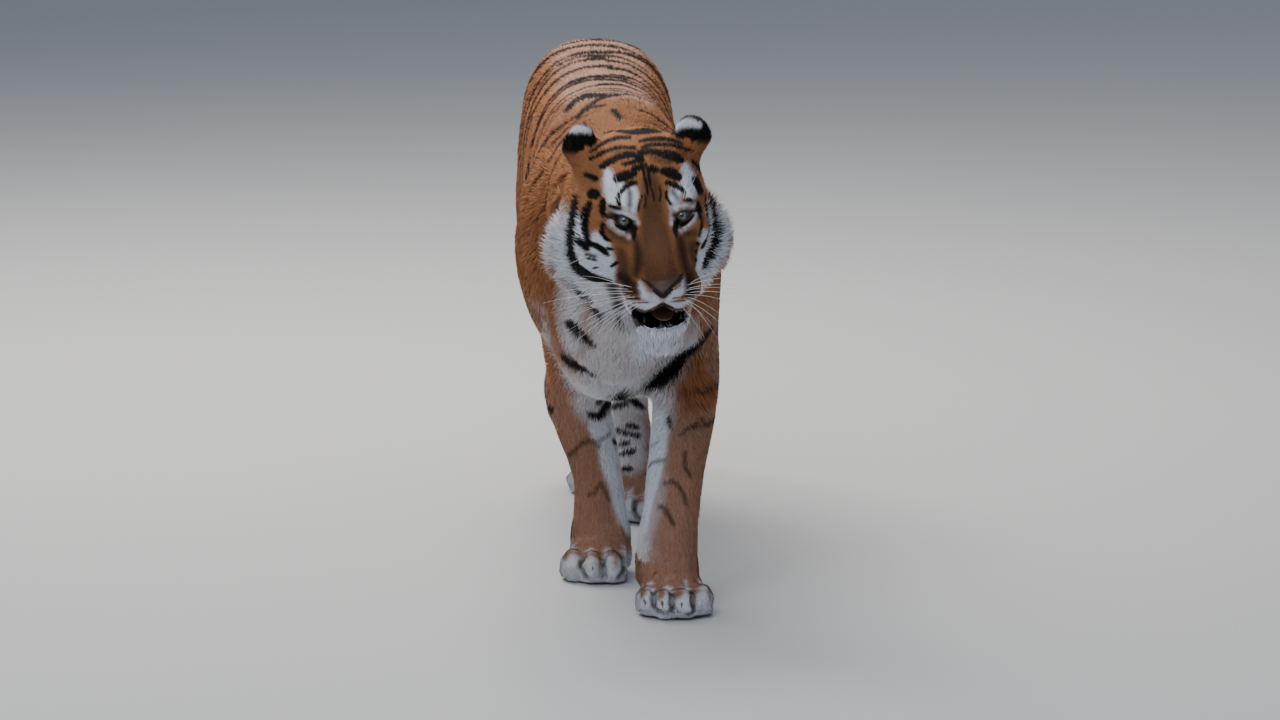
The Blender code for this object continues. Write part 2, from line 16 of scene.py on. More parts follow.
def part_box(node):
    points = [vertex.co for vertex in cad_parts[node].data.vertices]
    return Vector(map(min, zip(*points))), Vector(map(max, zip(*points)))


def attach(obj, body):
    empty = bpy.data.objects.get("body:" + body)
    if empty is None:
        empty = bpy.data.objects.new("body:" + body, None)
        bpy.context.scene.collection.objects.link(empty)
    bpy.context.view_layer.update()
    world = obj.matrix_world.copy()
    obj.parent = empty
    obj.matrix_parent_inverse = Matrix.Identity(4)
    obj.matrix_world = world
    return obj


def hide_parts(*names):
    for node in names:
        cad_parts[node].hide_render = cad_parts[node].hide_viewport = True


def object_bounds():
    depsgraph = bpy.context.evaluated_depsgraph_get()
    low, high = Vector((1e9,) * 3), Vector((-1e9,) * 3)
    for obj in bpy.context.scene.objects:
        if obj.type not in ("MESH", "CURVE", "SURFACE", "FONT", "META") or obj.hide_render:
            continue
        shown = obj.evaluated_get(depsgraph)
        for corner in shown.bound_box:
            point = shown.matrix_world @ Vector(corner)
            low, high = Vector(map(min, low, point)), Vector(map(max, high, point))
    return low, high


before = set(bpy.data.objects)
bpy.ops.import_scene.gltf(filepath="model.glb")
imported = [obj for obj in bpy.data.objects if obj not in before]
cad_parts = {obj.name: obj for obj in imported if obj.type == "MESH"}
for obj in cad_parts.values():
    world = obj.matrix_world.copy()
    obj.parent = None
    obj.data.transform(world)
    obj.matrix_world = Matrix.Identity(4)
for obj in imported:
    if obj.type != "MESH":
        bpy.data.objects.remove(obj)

cad_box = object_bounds()


# ---------------------------------------------------------------- the room
# A pale matt studio floor that runs on past the view, a broad soft light above and a little
# behind the animal, as under an overcast sky, and a weak wide one in front of it. The camera
# stands well in front and looks slightly down on the head.

def middle(node):
    low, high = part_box(node)
    return (Vector(low) + Vector(high)) / 2


eye_places = {"left": middle("eye_left"), "right": middle("eye_right")}
between_eyes = (eye_places["left"] + eye_places["right"]) / 2

VIEW_AZIMUTH = math.radians(-2.2)
VIEW_ELEVATION = math.radians(9.5)
VIEW_DISTANCE = 16.0
VIEW_WIDTH = 2.379                 # how much the view takes in at the animal
AIM = Vector((-0.0085, 0.196, -0.296))  # where the view is aimed, from between the eyes
SENSOR = 36.0                      # in millimetres
FAR_CLIP = 100.0
view_line = Vector((-math.sin(VIEW_AZIMUTH) * math.cos(VIEW_ELEVATION),
                    math.cos(VIEW_AZIMUTH) * math.cos(VIEW_ELEVATION),
                    -math.sin(VIEW_ELEVATION)))
view_target = between_eyes + AIM
front_place = view_target - view_line * VIEW_DISTANCE


def placed(name, data):
    """A new object in the scene."""
    made = bpy.data.objects.new(name, data)
    bpy.context.scene.collection.objects.link(made)
    return made


camera = placed("camera", bpy.data.cameras.new("camera"))
camera.location = front_place
camera.rotation_euler = view_line.to_track_quat("-Z", "Y").to_euler()
camera.data.sensor_width = SENSOR
camera.data.lens = SENSOR * VIEW_DISTANCE / VIEW_WIDTH
camera.data.clip_end = FAR_CLIP
bpy.context.scene.camera = camera


class Value:
    """One socket of a node tree. Arithmetic on it adds Math nodes."""

    def __init__(self, paint, socket):
        self.paint = paint
        self.socket = socket

    def math(self, operation, *others):
        return self.paint.node("ShaderNodeMath", {"operation": operation}, (self, *others))

    def __add__(self, other):
        return self.math("ADD", other)

    def __mul__(self, other):
        return self.math("MULTIPLY", other)

    def __sub__(self, other):
        return self.math("SUBTRACT", other)

    def __rsub__(self, other):
        return self.paint.node("ShaderNodeMath", {"operation": "SUBTRACT"}, (other, self))

    __radd__ = __add__
    __rmul__ = __mul__

    def rise(self, low, high):
        """0 below low, 1 above high, smooth between."""
        settings = {"interpolation_type": "SMOOTHSTEP"}
        return self.paint.node("ShaderNodeMapRange", settings,
                               {"Value": self, "From Min": low, "From Max": high})


class Paint:
    """A material under construction: nodes are added by type, settings and inputs."""

    def __init__(self, name, **shader_values):
        self.material = bpy.data.materials.new(name)
        self.material.use_nodes = True
        self.tree = self.material.node_tree
        self.shader = self.tree.nodes["Principled BSDF"]
        for socket, value in shader_values.items():
            self.shader.inputs[socket.replace("_", " ")].default_value = value

    def node(self, kind, settings=None, inputs=(), output=0):
        made = self.tree.nodes.new(kind)
        for name, value in (settings or {}).items():
            setattr(made, name, value)
        pairs = inputs.items() if isinstance(inputs, dict) else enumerate(inputs)
        for key, value in pairs:
            self.join(value, made.inputs[key])
        return Value(self, made.outputs[output])

    def join(self, value, socket):
        if isinstance(value, Value):
            self.tree.links.new(value.socket, socket)
        elif value is not None:
            socket.default_value = value

    def drive(self, socket, value):
        self.join(value, self.shader.inputs[socket])

    def attribute(self, name):
        return self.node("ShaderNodeAttribute", {"attribute_name": name}, output="Fac")

    def place(self, scale=(1.0, 1.0, 1.0)):
        """Coordinates of the surface in metres, stretched by a scale along each axis."""
        here = self.node("ShaderNodeTexCoord", output="Object")
        return self.node("ShaderNodeVectorMath", {"operation": "MULTIPLY"}, (here, scale))

    def noise(self, scale, detail=2.0, stretch=(1.0, 1.0, 1.0)):
        return self.node("ShaderNodeTexNoise", {},
                         {"Vector": self.place(stretch), "Scale": scale, "Detail": detail})

    def mix(self, amount, first, second):
        """Two colours mixed. A Mix node's colours are its sockets 6 and 7, its result is 2."""
        first, second = ((*colour, 1.0) if isinstance(colour, tuple) else colour
                         for colour in (first, second))
        return self.node("ShaderNodeMix", {"data_type": "RGBA"},
                         {0: amount, 6: first, 7: second}, output=2)

    def bump(self, height, distance, strength=1.0):
        inputs = {"Height": height, "Distance": distance, "Strength": strength}
        self.drive("Normal", self.node("ShaderNodeBump", {}, inputs))


FLOOR_HALF = 30.0
FLOOR_GREYS = (0.50, 0.50, 0.50), (0.53, 0.53, 0.525)
floor_shape = bmesh.new()
bmesh.ops.create_grid(floor_shape, x_segments=8, y_segments=8, size=FLOOR_HALF)
floor_mesh = bpy.data.meshes.new("floor")
floor_shape.to_mesh(floor_mesh)
floor_shape.free()
floor = placed("floor", floor_mesh)
floor_paint = Paint("studio_floor", Roughness=0.9)
floor_paint.drive("Base Color", floor_paint.mix(floor_paint.noise(0.6), *FLOOR_GREYS))
floor_mesh.materials.append(floor_paint.material)

SKY_COLOUR, SKY_STRENGTH = (0.74, 0.84, 1.0, 1.0), 0.38
world = bpy.data.worlds.new("studio")
bpy.context.scene.world = world
world.use_nodes = True
background = world.node_tree.nodes["Background"]
background.inputs["Color"].default_value = SKY_COLOUR
background.inputs["Strength"].default_value = SKY_STRENGTH


def soft_light(name, place, target, size, power, colour):
    light = bpy.data.lights.new(name, "AREA")
    light.shape = "RECTANGLE"
    light.size, light.size_y = size
    light.energy = power
    light.color = colour
    lamp = placed(name, light)
    lamp.location = place
    lamp.rotation_euler = (Vector(target) - Vector(place)).to_track_quat("-Z", "Y").to_euler()


soft_light("sky_panel", (-1.0, 2.2, 4.2), (0.0, -0.1, 0.7), (3.5, 3.5), 350.0, (1.0, 0.95, 0.88))
soft_light("front_panel", (-1.4, -4.6, 4.4), (0.0, -0.6, 0.6), (3.5, 3.0), 155.0,
           (0.90, 0.95, 1.0))


# ---------------------------------------------------------------- the hide
# One skin over head, neck, trunk, legs, ears and tail, as a mounted hide is drawn over its form.
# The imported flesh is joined, the thin cuts closed and the facets smoothed away. The eyelids and
# nose are shaped on it, and then it is drawn in by the depth of the coat.

NOT_FLESH = ("eye_", "claw_", "canine_", "tongue")
WELD = 1e-5                        # packed faces come apart, so their corners are joined first
HEAL = 0.0006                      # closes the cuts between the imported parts
VOXEL = 0.0042
LID_THICKNESS = 0.0016
NOSE_DROP = math.radians(23.3)     # the nose lies this far below the line straight ahead

flesh = [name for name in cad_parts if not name.startswith(NOT_FLESH)]
eye_radius = (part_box("eye_left")[1][0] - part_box("eye_left")[0][0]) / 2

joined = bmesh.new()
for name in flesh:
    part = bmesh.new()
    part.from_mesh(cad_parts[name].data)
    bmesh.ops.remove_doubles(part, verts=part.verts, dist=WELD)
    part.normal_update()
    for vertex in part.verts:
        vertex.co += vertex.normal * HEAL
    grown = bpy.data.meshes.new("grown")
    part.to_mesh(grown)
    part.free()
    joined.from_mesh(grown)
for place in eye_places.values():
    bmesh.ops.create_icosphere(joined, subdivisions=3, radius=eye_radius + LID_THICKNESS,
                               matrix=Matrix.Translation(place))
hide_mesh = bpy.data.meshes.new("hide")
joined.to_mesh(hide_mesh)
joined.free()
hide = placed("hide", hide_mesh)
remesh = hide.modifiers.new("one_surface", "REMESH")
remesh.mode = "VOXEL"
remesh.voxel_size = VOXEL
bpy.context.view_layer.update()
graph = bpy.context.evaluated_depsgraph_get()
hide.data = bpy.data.meshes.new_from_object(hide.evaluated_get(graph))
hide.modifiers.clear()

# The head's own axes: towards its left side, forward and up.
side_axis = (eye_places["left"] - eye_places["right"]).normalized()
to_nose = middle("nose_pad") - between_eyes
to_nose = (to_nose - side_axis * to_nose.dot(side_axis)).normalized()
above_nose = to_nose.cross(side_axis)
forward_axis = to_nose * math.cos(NOSE_DROP) + above_nose * math.sin(NOSE_DROP)
up_axis = forward_axis.cross(side_axis)
head_axes = np.array([side_axis, forward_axis, up_axis])


# Finer faces where the lids, nose and lips are shaped. Above the crown's height over the eyes
# they run further back.
FINE_HALF_WIDTH = 0.120
FINE_BACK, CROWN_BACK = -0.050, -0.135
CROWN_HEIGHT = 0.05
fine = bmesh.new()
fine.from_mesh(hide.data)
face_faces = []
for face in fine.faces:
    side, ahead, above = head_axes @ np.array(face.calc_center_median() - between_eyes)
    back = FINE_BACK if above < CROWN_HEIGHT else CROWN_BACK
    if abs(side) < FINE_HALF_WIDTH and ahead > back:
        face_faces.append(face)
face_edges = list({edge for face in face_faces for edge in face.edges})
bmesh.ops.subdivide_edges(fine, edges=face_edges, cuts=1, use_grid_fill=True)
EYE_REACH = 0.032                  # and finer still round the eyes
eye_faces = [face for face in fine.faces
             if min((face.calc_center_median() - place).length
                    for place in eye_places.values()) < EYE_REACH]
eye_edges = list({edge for face in eye_faces for edge in face.edges})
bmesh.ops.subdivide_edges(fine, edges=eye_edges, cuts=1, use_grid_fill=True)
bmesh.ops.triangulate(fine, faces=[face for face in fine.faces if len(face.verts) > 4])
fine.to_mesh(hide.data)
fine.free()


def read(collection, name, width, kind=np.float64):
    values = np.empty(len(collection) * width, kind)
    collection.foreach_get(name, values)
    return values.reshape(-1, width) if width > 1 else values


hide.data.calc_loop_triangles()
outer = read(hide.data.vertices, "co", 3)
edges = read(hide.data.edges, "vertices", 2, np.int32)
triangles = read(hide.data.loop_triangles, "vertices", 3, np.int32)
count = len(outer)
valence = np.bincount(edges.ravel(), minlength=count).clip(1)


def neighbour_mean(values):
    columns = values.reshape(count, -1)
    found = np.empty_like(columns)
    for k in range(columns.shape[1]):
        found[:, k] = (np.bincount(edges[:, 0], columns[edges[:, 1], k], count)
                       + np.bincount(edges[:, 1], columns[edges[:, 0], k], count)) / valence
    return found.reshape(values.shape)


def spread_out(values, passes):
    for _ in range(passes):
        values = (values + neighbour_mean(values)) / 2
    return values


def unit(vectors):
    return vectors / np.linalg.norm(vectors, axis=-1, keepdims=True).clip(1e-12)


def ramp(values, low, high):
    """0 at low and 1 at high, smooth between."""
    t = np.clip((values - low) / (high - low), 0.0, 1.0)
    return t * t * (3 - 2 * t)


def fade(values, low, high):
    """1 at low and 0 at high, smooth between."""
    return ramp(-values, -high, -low)


def normals_of(points):
    a, b, c = (points[triangles[:, k]] for k in range(3))
    face = np.cross(b - a, c - a)
    total = np.empty_like(points)
    for k in range(3):
        total[:, k] = sum(np.bincount(triangles[:, j], face[:, k], count) for j in range(3))
    return unit(total)


def in_head(points):
    """Places in the head's axes: towards its left, forward and up, from between the eyes."""
    return ((points - np.array(between_eyes)) @ head_axes.T).T


# The feet keep their toes, the face its features; elsewhere the facets are smoothed right out.
SMOOTHING = 0.6
BODY_PASSES, FACE_PASSES, FOOT_PASSES = 36, 7, 3
side, ahead, above = in_head(outer)
face_detail = (ramp(ahead, -0.16, -0.02) * fade(np.abs(side), 0.075, 0.105)
               * ramp(above, -0.27, -0.20))
foot_detail = fade(outer[:, 2], 0.095, 0.125)
for step in range(BODY_PASSES):
    weight = SMOOTHING * np.ones(count)
    if step >= FACE_PASSES:
        weight *= 1 - face_detail
    if step >= FOOT_PASSES:
        weight *= 1 - foot_detail
    outer += (neighbour_mean(outer) - outer) * weight[:, None]

# The toes keep the breadth that the smoothing takes from them.
FOOT_FILLED = 0.0040
BOX_MARGIN = 0.001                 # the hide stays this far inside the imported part's box
foot_breadth = FOOT_FILLED * fade(outer[:, 2], 0.060, 0.110)
outer[:, :2] += normals_of(outer)[:, :2] * foot_breadth[:, None]
outer = np.clip(outer, np.array(cad_box[0]) + BOX_MARGIN, np.array(cad_box[1]) - BOX_MARGIN)

# The face looks a little more to the animal's left than the block of the head under it.
FACE_TURN = 0.0078
front_right = Vector((math.cos(VIEW_AZIMUTH), math.sin(VIEW_AZIMUTH), 0.0))
front_up = front_right.cross(view_line)
side, ahead, above = in_head(outer)
face_part = ramp(ahead, -0.09, 0.0) * fade(np.abs(side), 0.075, 0.125) * fade(above, 0.04, 0.10)
face_shift = front_right * FACE_TURN
outer += face_part[:, None] * np.array(face_shift)
between_eyes = between_eyes + face_shift
eye_places = {which: place + face_shift for which, place in eye_places.items()}
side, ahead, above = in_head(outer)
across = np.abs(side)

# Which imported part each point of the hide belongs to.
owners = KDTree(sum(len(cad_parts[name].data.vertices) for name in flesh))
owner_list = []
for number, name in enumerate(flesh):
    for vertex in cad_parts[name].data.vertices:
        owners.insert(vertex.co, len(owner_list))
        owner_list.append(number)
owners.balance()
owner = np.array([owner_list[owners.find(point)[1]] for point in outer])


def belongs(*starts):
    """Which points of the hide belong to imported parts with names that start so."""
    wanted = [number for number, name in enumerate(flesh) if name.startswith(starts)]
    return np.isin(owner, wanted)


# Strokes are laid on the hide as seen from the front. Their points are right and up from between
# the eyes, on the plane that faces the camera there, in steps of just under a millimetre, and each
# is thrown back on to the surface. Their half-widths are in millimetres.
FRONT_SCALE = 0.000987
STROKE_STEP = 4.0
FINEST_LINE = 0.4
STROKE_JUMP, STRIPE_JUMP = 0.03, 0.045  # a run ends where the next point is further off
DEPTH_REACH = 0.040                # how far in front of or behind a stroke it still marks
MOST_STRETCH = 3.0                 # how much wider than it shows a stroke may run on a steep side
STRETCH_SPARE, STRETCH_SOFT = 0.002, 0.004
surface = BVHTree.FromPolygons(outer.tolist(), triangles.tolist())


def curve_through(points, step):
    """Points every step along a smooth curve through the given ones (Catmull-Rom)."""
    points = np.array(points, float)
    ends = np.vstack([2 * points[0] - points[1], points, 2 * points[-1] - points[-2]])
    found = []
    for a, b, c, d in zip(ends, ends[1:], ends[2:], ends[3:]):
        pieces = max(1, int(np.linalg.norm(c[:2] - b[:2]) / step))
        for t in np.arange(pieces) / pieces:
            found.append(b + 0.5 * t * (c - a + t * (2 * a - 5 * b + 4 * c - d
                                                     + t * (3 * (b - c) + d - a))))
    found.append(points[-1])
    return np.array(found)


def throw(right, up):
    """The surface point seen from the front at this place, or None."""
    through = between_eyes + (front_right * right + front_up * up) * FRONT_SCALE
    return surface.ray_cast(front_place, (through - front_place).normalized())[0]


def seen_from_front(points):
    """Where points are seen from the front: right and up, as a stroke's points are given."""
    away = points - np.array(front_place)
    nearer = (between_eyes - front_place).dot(view_line) / (away @ np.array(view_line))
    flat = away * nearer[:, None] + np.array(front_place) - np.array(between_eyes)
    return (flat @ np.array(front_right) / FRONT_SCALE, flat @ np.array(front_up) / FRONT_SCALE)


def runs_of(places, half_widths, jump):
    """Runs of (x, y, z, half-width), broken where the surface is missed or drops away."""
    runs, run = [], []
    for place, half_width in zip(places, half_widths):
        if place is None or (run and (place - Vector(run[-1][:3])).length > jump):
            runs.append(run)
            run = []
        if place is not None:
            run.append((*place, half_width))
    runs.append(run)
    return [np.array(run) for run in runs if len(run) > 1]


def laid(points, half_width):
    """A stroke laid on the hide from the front, with one half-width or one for each point."""
    widths = np.broadcast_to(np.asarray(half_width, float), (len(points),))
    spots = curve_through(np.column_stack([points, widths]), STROKE_STEP)
    places = [throw(right, up) for right, up, _ in spots]
    return runs_of(places, np.maximum(spots[:, 2], FINEST_LINE) / 1000, STROKE_JUMP)


def nearness(run, points, soft, as_seen=False):
    """(indices, values): 1 inside the run's width, 0 beyond it by soft. As seen, the width is the
    one that shows from the front on a surface that turns away, up to MOST_STRETCH."""
    reach = run[:, 3].max() + soft + DEPTH_REACH * as_seen
    low, high = run[:, :3].min(axis=0) - reach, run[:, :3].max(axis=0) + reach
    near = np.flatnonzero(((points > low) & (points < high)).all(axis=1))
    places, line = points[near], run[:, :3]
    close_by = np.ones(len(near))
    if as_seen:
        stretched = np.column_stack([line, MOST_STRETCH * run[:, 3] + STRETCH_SPARE])
        found, value = nearness(stretched, places, STRETCH_SOFT)
        close_by[:] = 0
        close_by[found] = value
        places = np.column_stack(seen_from_front(places)) * FRONT_SCALE
        line = np.column_stack(seen_from_front(line)) * FRONT_SCALE
    best = np.full(len(near), 1.0)
    for start, end, wide, next_wide in zip(line, line[1:], run[:, 3], run[1:, 3]):
        along = end - start
        offset = places - start
        t = np.clip(offset @ along / (along @ along).clip(1e-12), 0.0, 1.0)
        away = np.linalg.norm(offset - t[:, None] * along, axis=1)
        best = np.minimum(best, away - (wide + t * (next_wide - wide)))
    return near, close_by * (1 - ramp(best, -soft, soft))


def paint_runs(field, runs, soft, strength=1.0, as_seen=False):
    """Runs painted on a field of the markings, where the hair of each point shows."""
    for run in runs:
        near, value = nearness(run, shown, soft, as_seen)
        field[near] = np.maximum(field[near], value * strength)


# How long the hair is, in metres, part by part, and longer at the ruff, chin, throat and belly.
HAIR = {"head": 0.009, "lower_jaw": 0.012, "neck": 0.021, "trunk": 0.017, "rump": 0.019,
        "upper_arm": 0.016, "forearm": 0.012, "thigh": 0.018, "shank": 0.014, "paw": 0.010,
        "tail": 0.020, "ear": 0.009, "nose_pad": 0.004}
RUFF_HAIR, CHIN_HAIR, FACE_HAIR, NAPE_HAIR = 0.052, 0.024, 0.0055, 0.018
BELLY_HAIR = 0.014                 # added to the trunk's, under the belly and down the throat
NAPE_HEIGHT = 0.82
HAIR_PASSES = 60                   # of easing from one part's length to the next
of_head, of_jaw = belongs("head", "lower_jaw"), belongs("lower_jaw")
of_head_or_nose = of_head | belongs("nose_pad")
skinward = normals_of(outer)
cheek = ramp(across, 0.075, 0.150) * fade(ahead, -0.06, 0.01) * fade(above, -0.02, 0.045)
face_front = ramp(ahead, -0.03, 0.015) * fade(across, 0.060, 0.085) * fade(above, 0.02, 0.05)
chin = fade(above, -0.150, -0.115) * fade(across, 0.03, 0.06)
underside = fade(skinward[:, 2], -0.8, -0.2)
throat = fade(skinward[:, 1], -0.8, -0.1) * fade(outer[:, 2], 0.62, 0.80)
hair = np.zeros(count)
for start, length in HAIR.items():
    hair[belongs(start)] = length
hair = np.where(of_head, np.maximum(hair, RUFF_HAIR * cheek), hair)
hair = np.where(of_head, hair + (FACE_HAIR - hair) * face_front, hair)
hair = np.where(of_head, np.maximum(hair, CHIN_HAIR * chin), hair)
hair = np.where(belongs("trunk", "rump"), hair + BELLY_HAIR * underside, hair)
hair = np.where(belongs("neck", "trunk"), hair + BELLY_HAIR * throat, hair)
hair[belongs("neck") & (outer[:, 2] > NAPE_HEIGHT)] = NAPE_HAIR
hair = spread_out(hair, HAIR_PASSES)
most_on_head = 0.005 + 0.06 * np.maximum(cheek, 0.5 * chin) + 0.02 * (1 - face_front)
hair = np.where(of_head_or_nose, np.minimum(hair, most_on_head), hair)


# Folds and hollows carved along strokes: positive heights stand out.
def carved(points, runs, height, soft):
    lift = np.zeros(count)
    for run in runs:
        near, value = nearness(run, points, soft)
        lift[near] = np.maximum(lift[near], value)
    return points + skinward * (lift * height)[:, None]


NOSE_V = [(-22, -113), (-12, -123), (0, -133), (12, -144), (18, -149), (25, -142), (35, -131),
          (47, -121), (56, -110), (57, -101)]
NOSTRILS = [[(-21, -116), (-13, -125), (-4, -131)], [(56, -107), (50, -118), (40, -127)]]
LIP_SPLIT = [[(18, -148), (18, -160)]]
SHOULDER_FOLDS = [[(-222, 150), (-228, 110), (-238, 60), (-240, 0), (-235, -60), (-225, -110),
                   (-205, -150)], [(-190, 140), (-200, 80), (-207, 40), (-205, 0)]]
BROWS = [[(-80, 18), (-68, 24), (-52, 22), (-38, 10)], [(82, 26), (68, 30), (50, 26), (36, 12)]]
UNDER_EYES = [[(-76, -28), (-62, -38), (-45, -42)], [(78, -20), (64, -34), (48, -38)]]
for strokes, half_width, height, soft in ((NOSTRILS, 3.0, -0.0070, 0.0022),
                                          (LIP_SPLIT, 0.8, -0.0030, 0.0020),
                                          (SHOULDER_FOLDS, 4.0, 0.006, 0.012),
                                          (BROWS, 4.0, 0.0028, 0.008),
                                          (UNDER_EYES, 2.0, -0.0016, 0.005)):
    for points in strokes:
        outer = carved(outer, laid(points, half_width), height, soft)

# The gape: what lies between the lips, as seen from the front, is drawn back into the mouth. The
# lower lip stays where it is.
GAPE = [(-68, -169), (-43, -165), (-29, -168), (-15, -173), (-1, -169), (18, -159), (32, -166),
        (43, -171), (62, -168), (61, -192), (43, -197), (8, -197), (-29, -202), (-47, -209),
        (-61, -206)]
GAPE_DEPTH, LIP_EDGE = 0.085, 4.0
MOUTH_BACK, MOUTH_FRONT, MOUTH_HALF_WIDTH = 0.060, 0.100, 0.056


def inside(outline, right, up):
    """Whether places are inside a closed outline, and how far they are from its edge."""
    crossings = np.zeros(len(right), int)
    edge = np.full(len(right), 1e3)
    for (x0, y0), (x1, y1) in zip(outline, outline[1:] + outline[:1]):
        spans = (y0 > up) != (y1 > up)
        crossings += spans & (right < x0 + (up - y0) * (x1 - x0) / (y1 - y0 + 1e-9))
        t = ((right - x0) * (x1 - x0) + (up - y0) * (y1 - y0)) / ((x1 - x0) ** 2 + (y1 - y0) ** 2)
        t = np.clip(t, 0, 1)
        edge = np.minimum(edge, np.hypot(right - x0 - t * (x1 - x0), up - y0 - t * (y1 - y0)))
    return crossings % 2 == 1, edge


seen_right, seen_up = seen_from_front(outer)
within, edge_away = inside(GAPE, seen_right, seen_up)
gape = within & of_head_or_nose & (ahead > MOUTH_BACK)
gape &= (across < MOUTH_HALF_WIDTH) | (ahead > MOUTH_FRONT)
upper_lip = gape & belongs("head", "nose_pad")
drawn_back = GAPE_DEPTH * ramp(edge_away, 0.0, LIP_EDGE)
outer[upper_lip] += np.array(view_line) * drawn_back[upper_lip, None]

# The gaps between the toes, from between the claws up and back over the foot.
GAP_STEPS = 9
GAP_HALF_WIDTH = 0.0022
GAP_DEPTH, GAP_SOFT = 0.0075, 0.0085
GAP_BACK, GAP_UP = (-0.012, 0.060), (-0.020, 0.075)  # where it starts from the claws, and its run
toe_gaps = []
for foot in ("fore_left", "fore_right", "hind_left", "hind_right"):
    claws = sorted((middle("claw_{}_{}".format(foot, toe)) for toe in range(1, 5)),
                   key=lambda place: place.x)
    for one, other in zip(claws, claws[1:]):
        run = []
        for part in np.linspace(0, 1, GAP_STEPS):
            sought = (one + other) / 2 + Vector((0, GAP_BACK[0] + GAP_BACK[1] * part,
                                                 GAP_UP[0] + GAP_UP[1] * part))
            run.append((*surface.find_nearest(sought)[0], GAP_HALF_WIDTH * (1.25 - part)))
        toe_gaps.append(np.array(run))
outer = carved(outer, toe_gaps, -GAP_DEPTH, GAP_SOFT)

# The eyelids: an almond opening on the ball, higher at the outer corner, in millimetres. The hide
# dives under the front of the ball inside it and keeps clear of the ball outside.
LID_HALF_WIDTH = 15.5
UPPER_HEIGHT, LOWER_HEIGHT = 9.0, 7.5
LID_MIDDLE = -3.5
LID_SLANT = 7.0
RIM, RIM_SOFT = 1.8, 1.0           # bare black skin round the opening
LID_SLOPE, LID_CURVE = 0.50, 0.050  # how the lids rise from the ball to the brow and cheek
LID_REACH, LID_EDGE = 0.034, 0.026  # in metres from the middle of the ball
HIDDEN_RADIUS = 0.0120
LID_RADIUS = eye_radius + LID_THICKNESS
NO_LIMIT = 1.0
gaze = -view_line


def lid_line(outward, sign):
    """Height of the upper (sign 1) or lower (-1) lid's edge over the ball's front, in mm."""
    part = np.clip(1 - (outward / LID_HALF_WIDTH) ** 2, 0.0, 1.0) ** 0.75
    height = UPPER_HEIGHT if sign > 0 else -LOWER_HEIGHT
    return LID_MIDDLE + LID_SLANT * outward / LID_HALF_WIDTH + height * part


def eye_axes(which):
    """Outward, up and forward directions of an eye."""
    outward = front_right if which == "left" else -front_right
    return np.array([outward, front_up, gaze])


inside_lids = np.zeros(count, bool)
lid_rim = np.zeros(count)
for which, place in eye_places.items():
    offset = outer - np.array(place)
    radius = np.linalg.norm(offset, axis=1)
    near = radius < LID_REACH
    x, z, facing = (unit(offset[near]) @ eye_axes(which).T * eye_radius * 1000).T
    opened = ((facing > 0) & (np.abs(x) < LID_HALF_WIDTH)
              & (z < lid_line(x, 1)) & (z > lid_line(x, -1)))
    outside = np.maximum(np.maximum(z - lid_line(x, 1), lid_line(x, -1) - z),
                         np.abs(x) - LID_HALF_WIDTH).clip(0)
    slope = LID_RADIUS + (LID_SLOPE * outside + LID_CURVE * outside ** 2) / 1000
    most = np.where(facing > 0, slope, NO_LIMIT)
    wanted = np.where(opened, HIDDEN_RADIUS, np.clip(radius[near], LID_RADIUS, most))
    outer[near] = np.array(place) + unit(offset[near]) * wanted[:, None]
    indices = np.flatnonzero(near)
    inside_lids[indices[opened]] = True
    lid_rim[indices] = np.where(facing > 0, fade(outside, RIM - RIM_SOFT, RIM + RIM_SOFT), 0.0)

# Round the lids the hide is eased, so that no fold runs out from the ball.
LID_PASSES = 12
around = np.zeros(count)
for place in eye_places.values():
    radius = np.linalg.norm(outer - np.array(place), axis=1)
    around = np.maximum(around, fade(radius, LID_EDGE, LID_REACH))
around *= (1 - inside_lids) * (1 - ramp(lid_rim, 0.2, 0.8))
for _ in range(LID_PASSES):
    outer = outer + (neighbour_mean(outer) - outer) * (0.5 * around)[:, None]
    for place in eye_places.values():
        offset = outer - np.array(place)
        low = (np.linalg.norm(offset, axis=1) < LID_RADIUS) & ~inside_lids
        outer[low] = np.array(place) + unit(offset[low]) * LID_RADIUS

# The hide lies inside the coat by part of the hair's length, more where the ruff stands out.
COAT_DEPTH, RUFF_DEPTH = 0.30, 0.22
depth = hair * (COAT_DEPTH + RUFF_DEPTH * cheek * of_head)
outward_normals = normals_of(outer)
skin = outer - outward_normals * depth[:, None]
hide.data.vertices.foreach_set("co", skin.ravel())
hide.data.update()
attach(hide, "root")
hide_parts(*flesh)


# ---------------------------------------------------------------- the way the hair lies
# From the nose back over the face and crown, out and down over the cheeks, back along the body,
# down the throat and legs, forward over the toes, up the ears and out along the tail.

LIE = {"neck": (0.0, 1.0, -0.35), "trunk": (0.0, 1.0, -0.30), "rump": (0.0, 0.9, -0.55),
       "upper_arm": (0.0, 0.35, -1.0), "forearm": (0.0, 0.20, -1.0), "thigh": (0.0, 0.45, -1.0),
       "shank": (0.0, 0.05, -1.0), "paw": (0.0, -0.8, -0.5), "tail": (0.0, 0.5, -0.8)}
lie = np.zeros((count, 3))
for start, direction in LIE.items():
    lie[belongs(start)] = direction
DOWN_THROAT, UNDER_BELLY = np.array([0.0, 0.1, -1.6]), np.array([0.0, 0.4, 0.3])
neck_side = np.sign(outer[:, 0]) * ramp(np.abs(outer[:, 0]), 0.02, 0.12)
lie[:, 0] += 0.25 * neck_side * belongs("neck")
lie += DOWN_THROAT * throat[:, None] * belongs("neck", "trunk")[:, None]
lie += UNDER_BELLY * (underside * belongs("trunk", "rump"))[:, None]

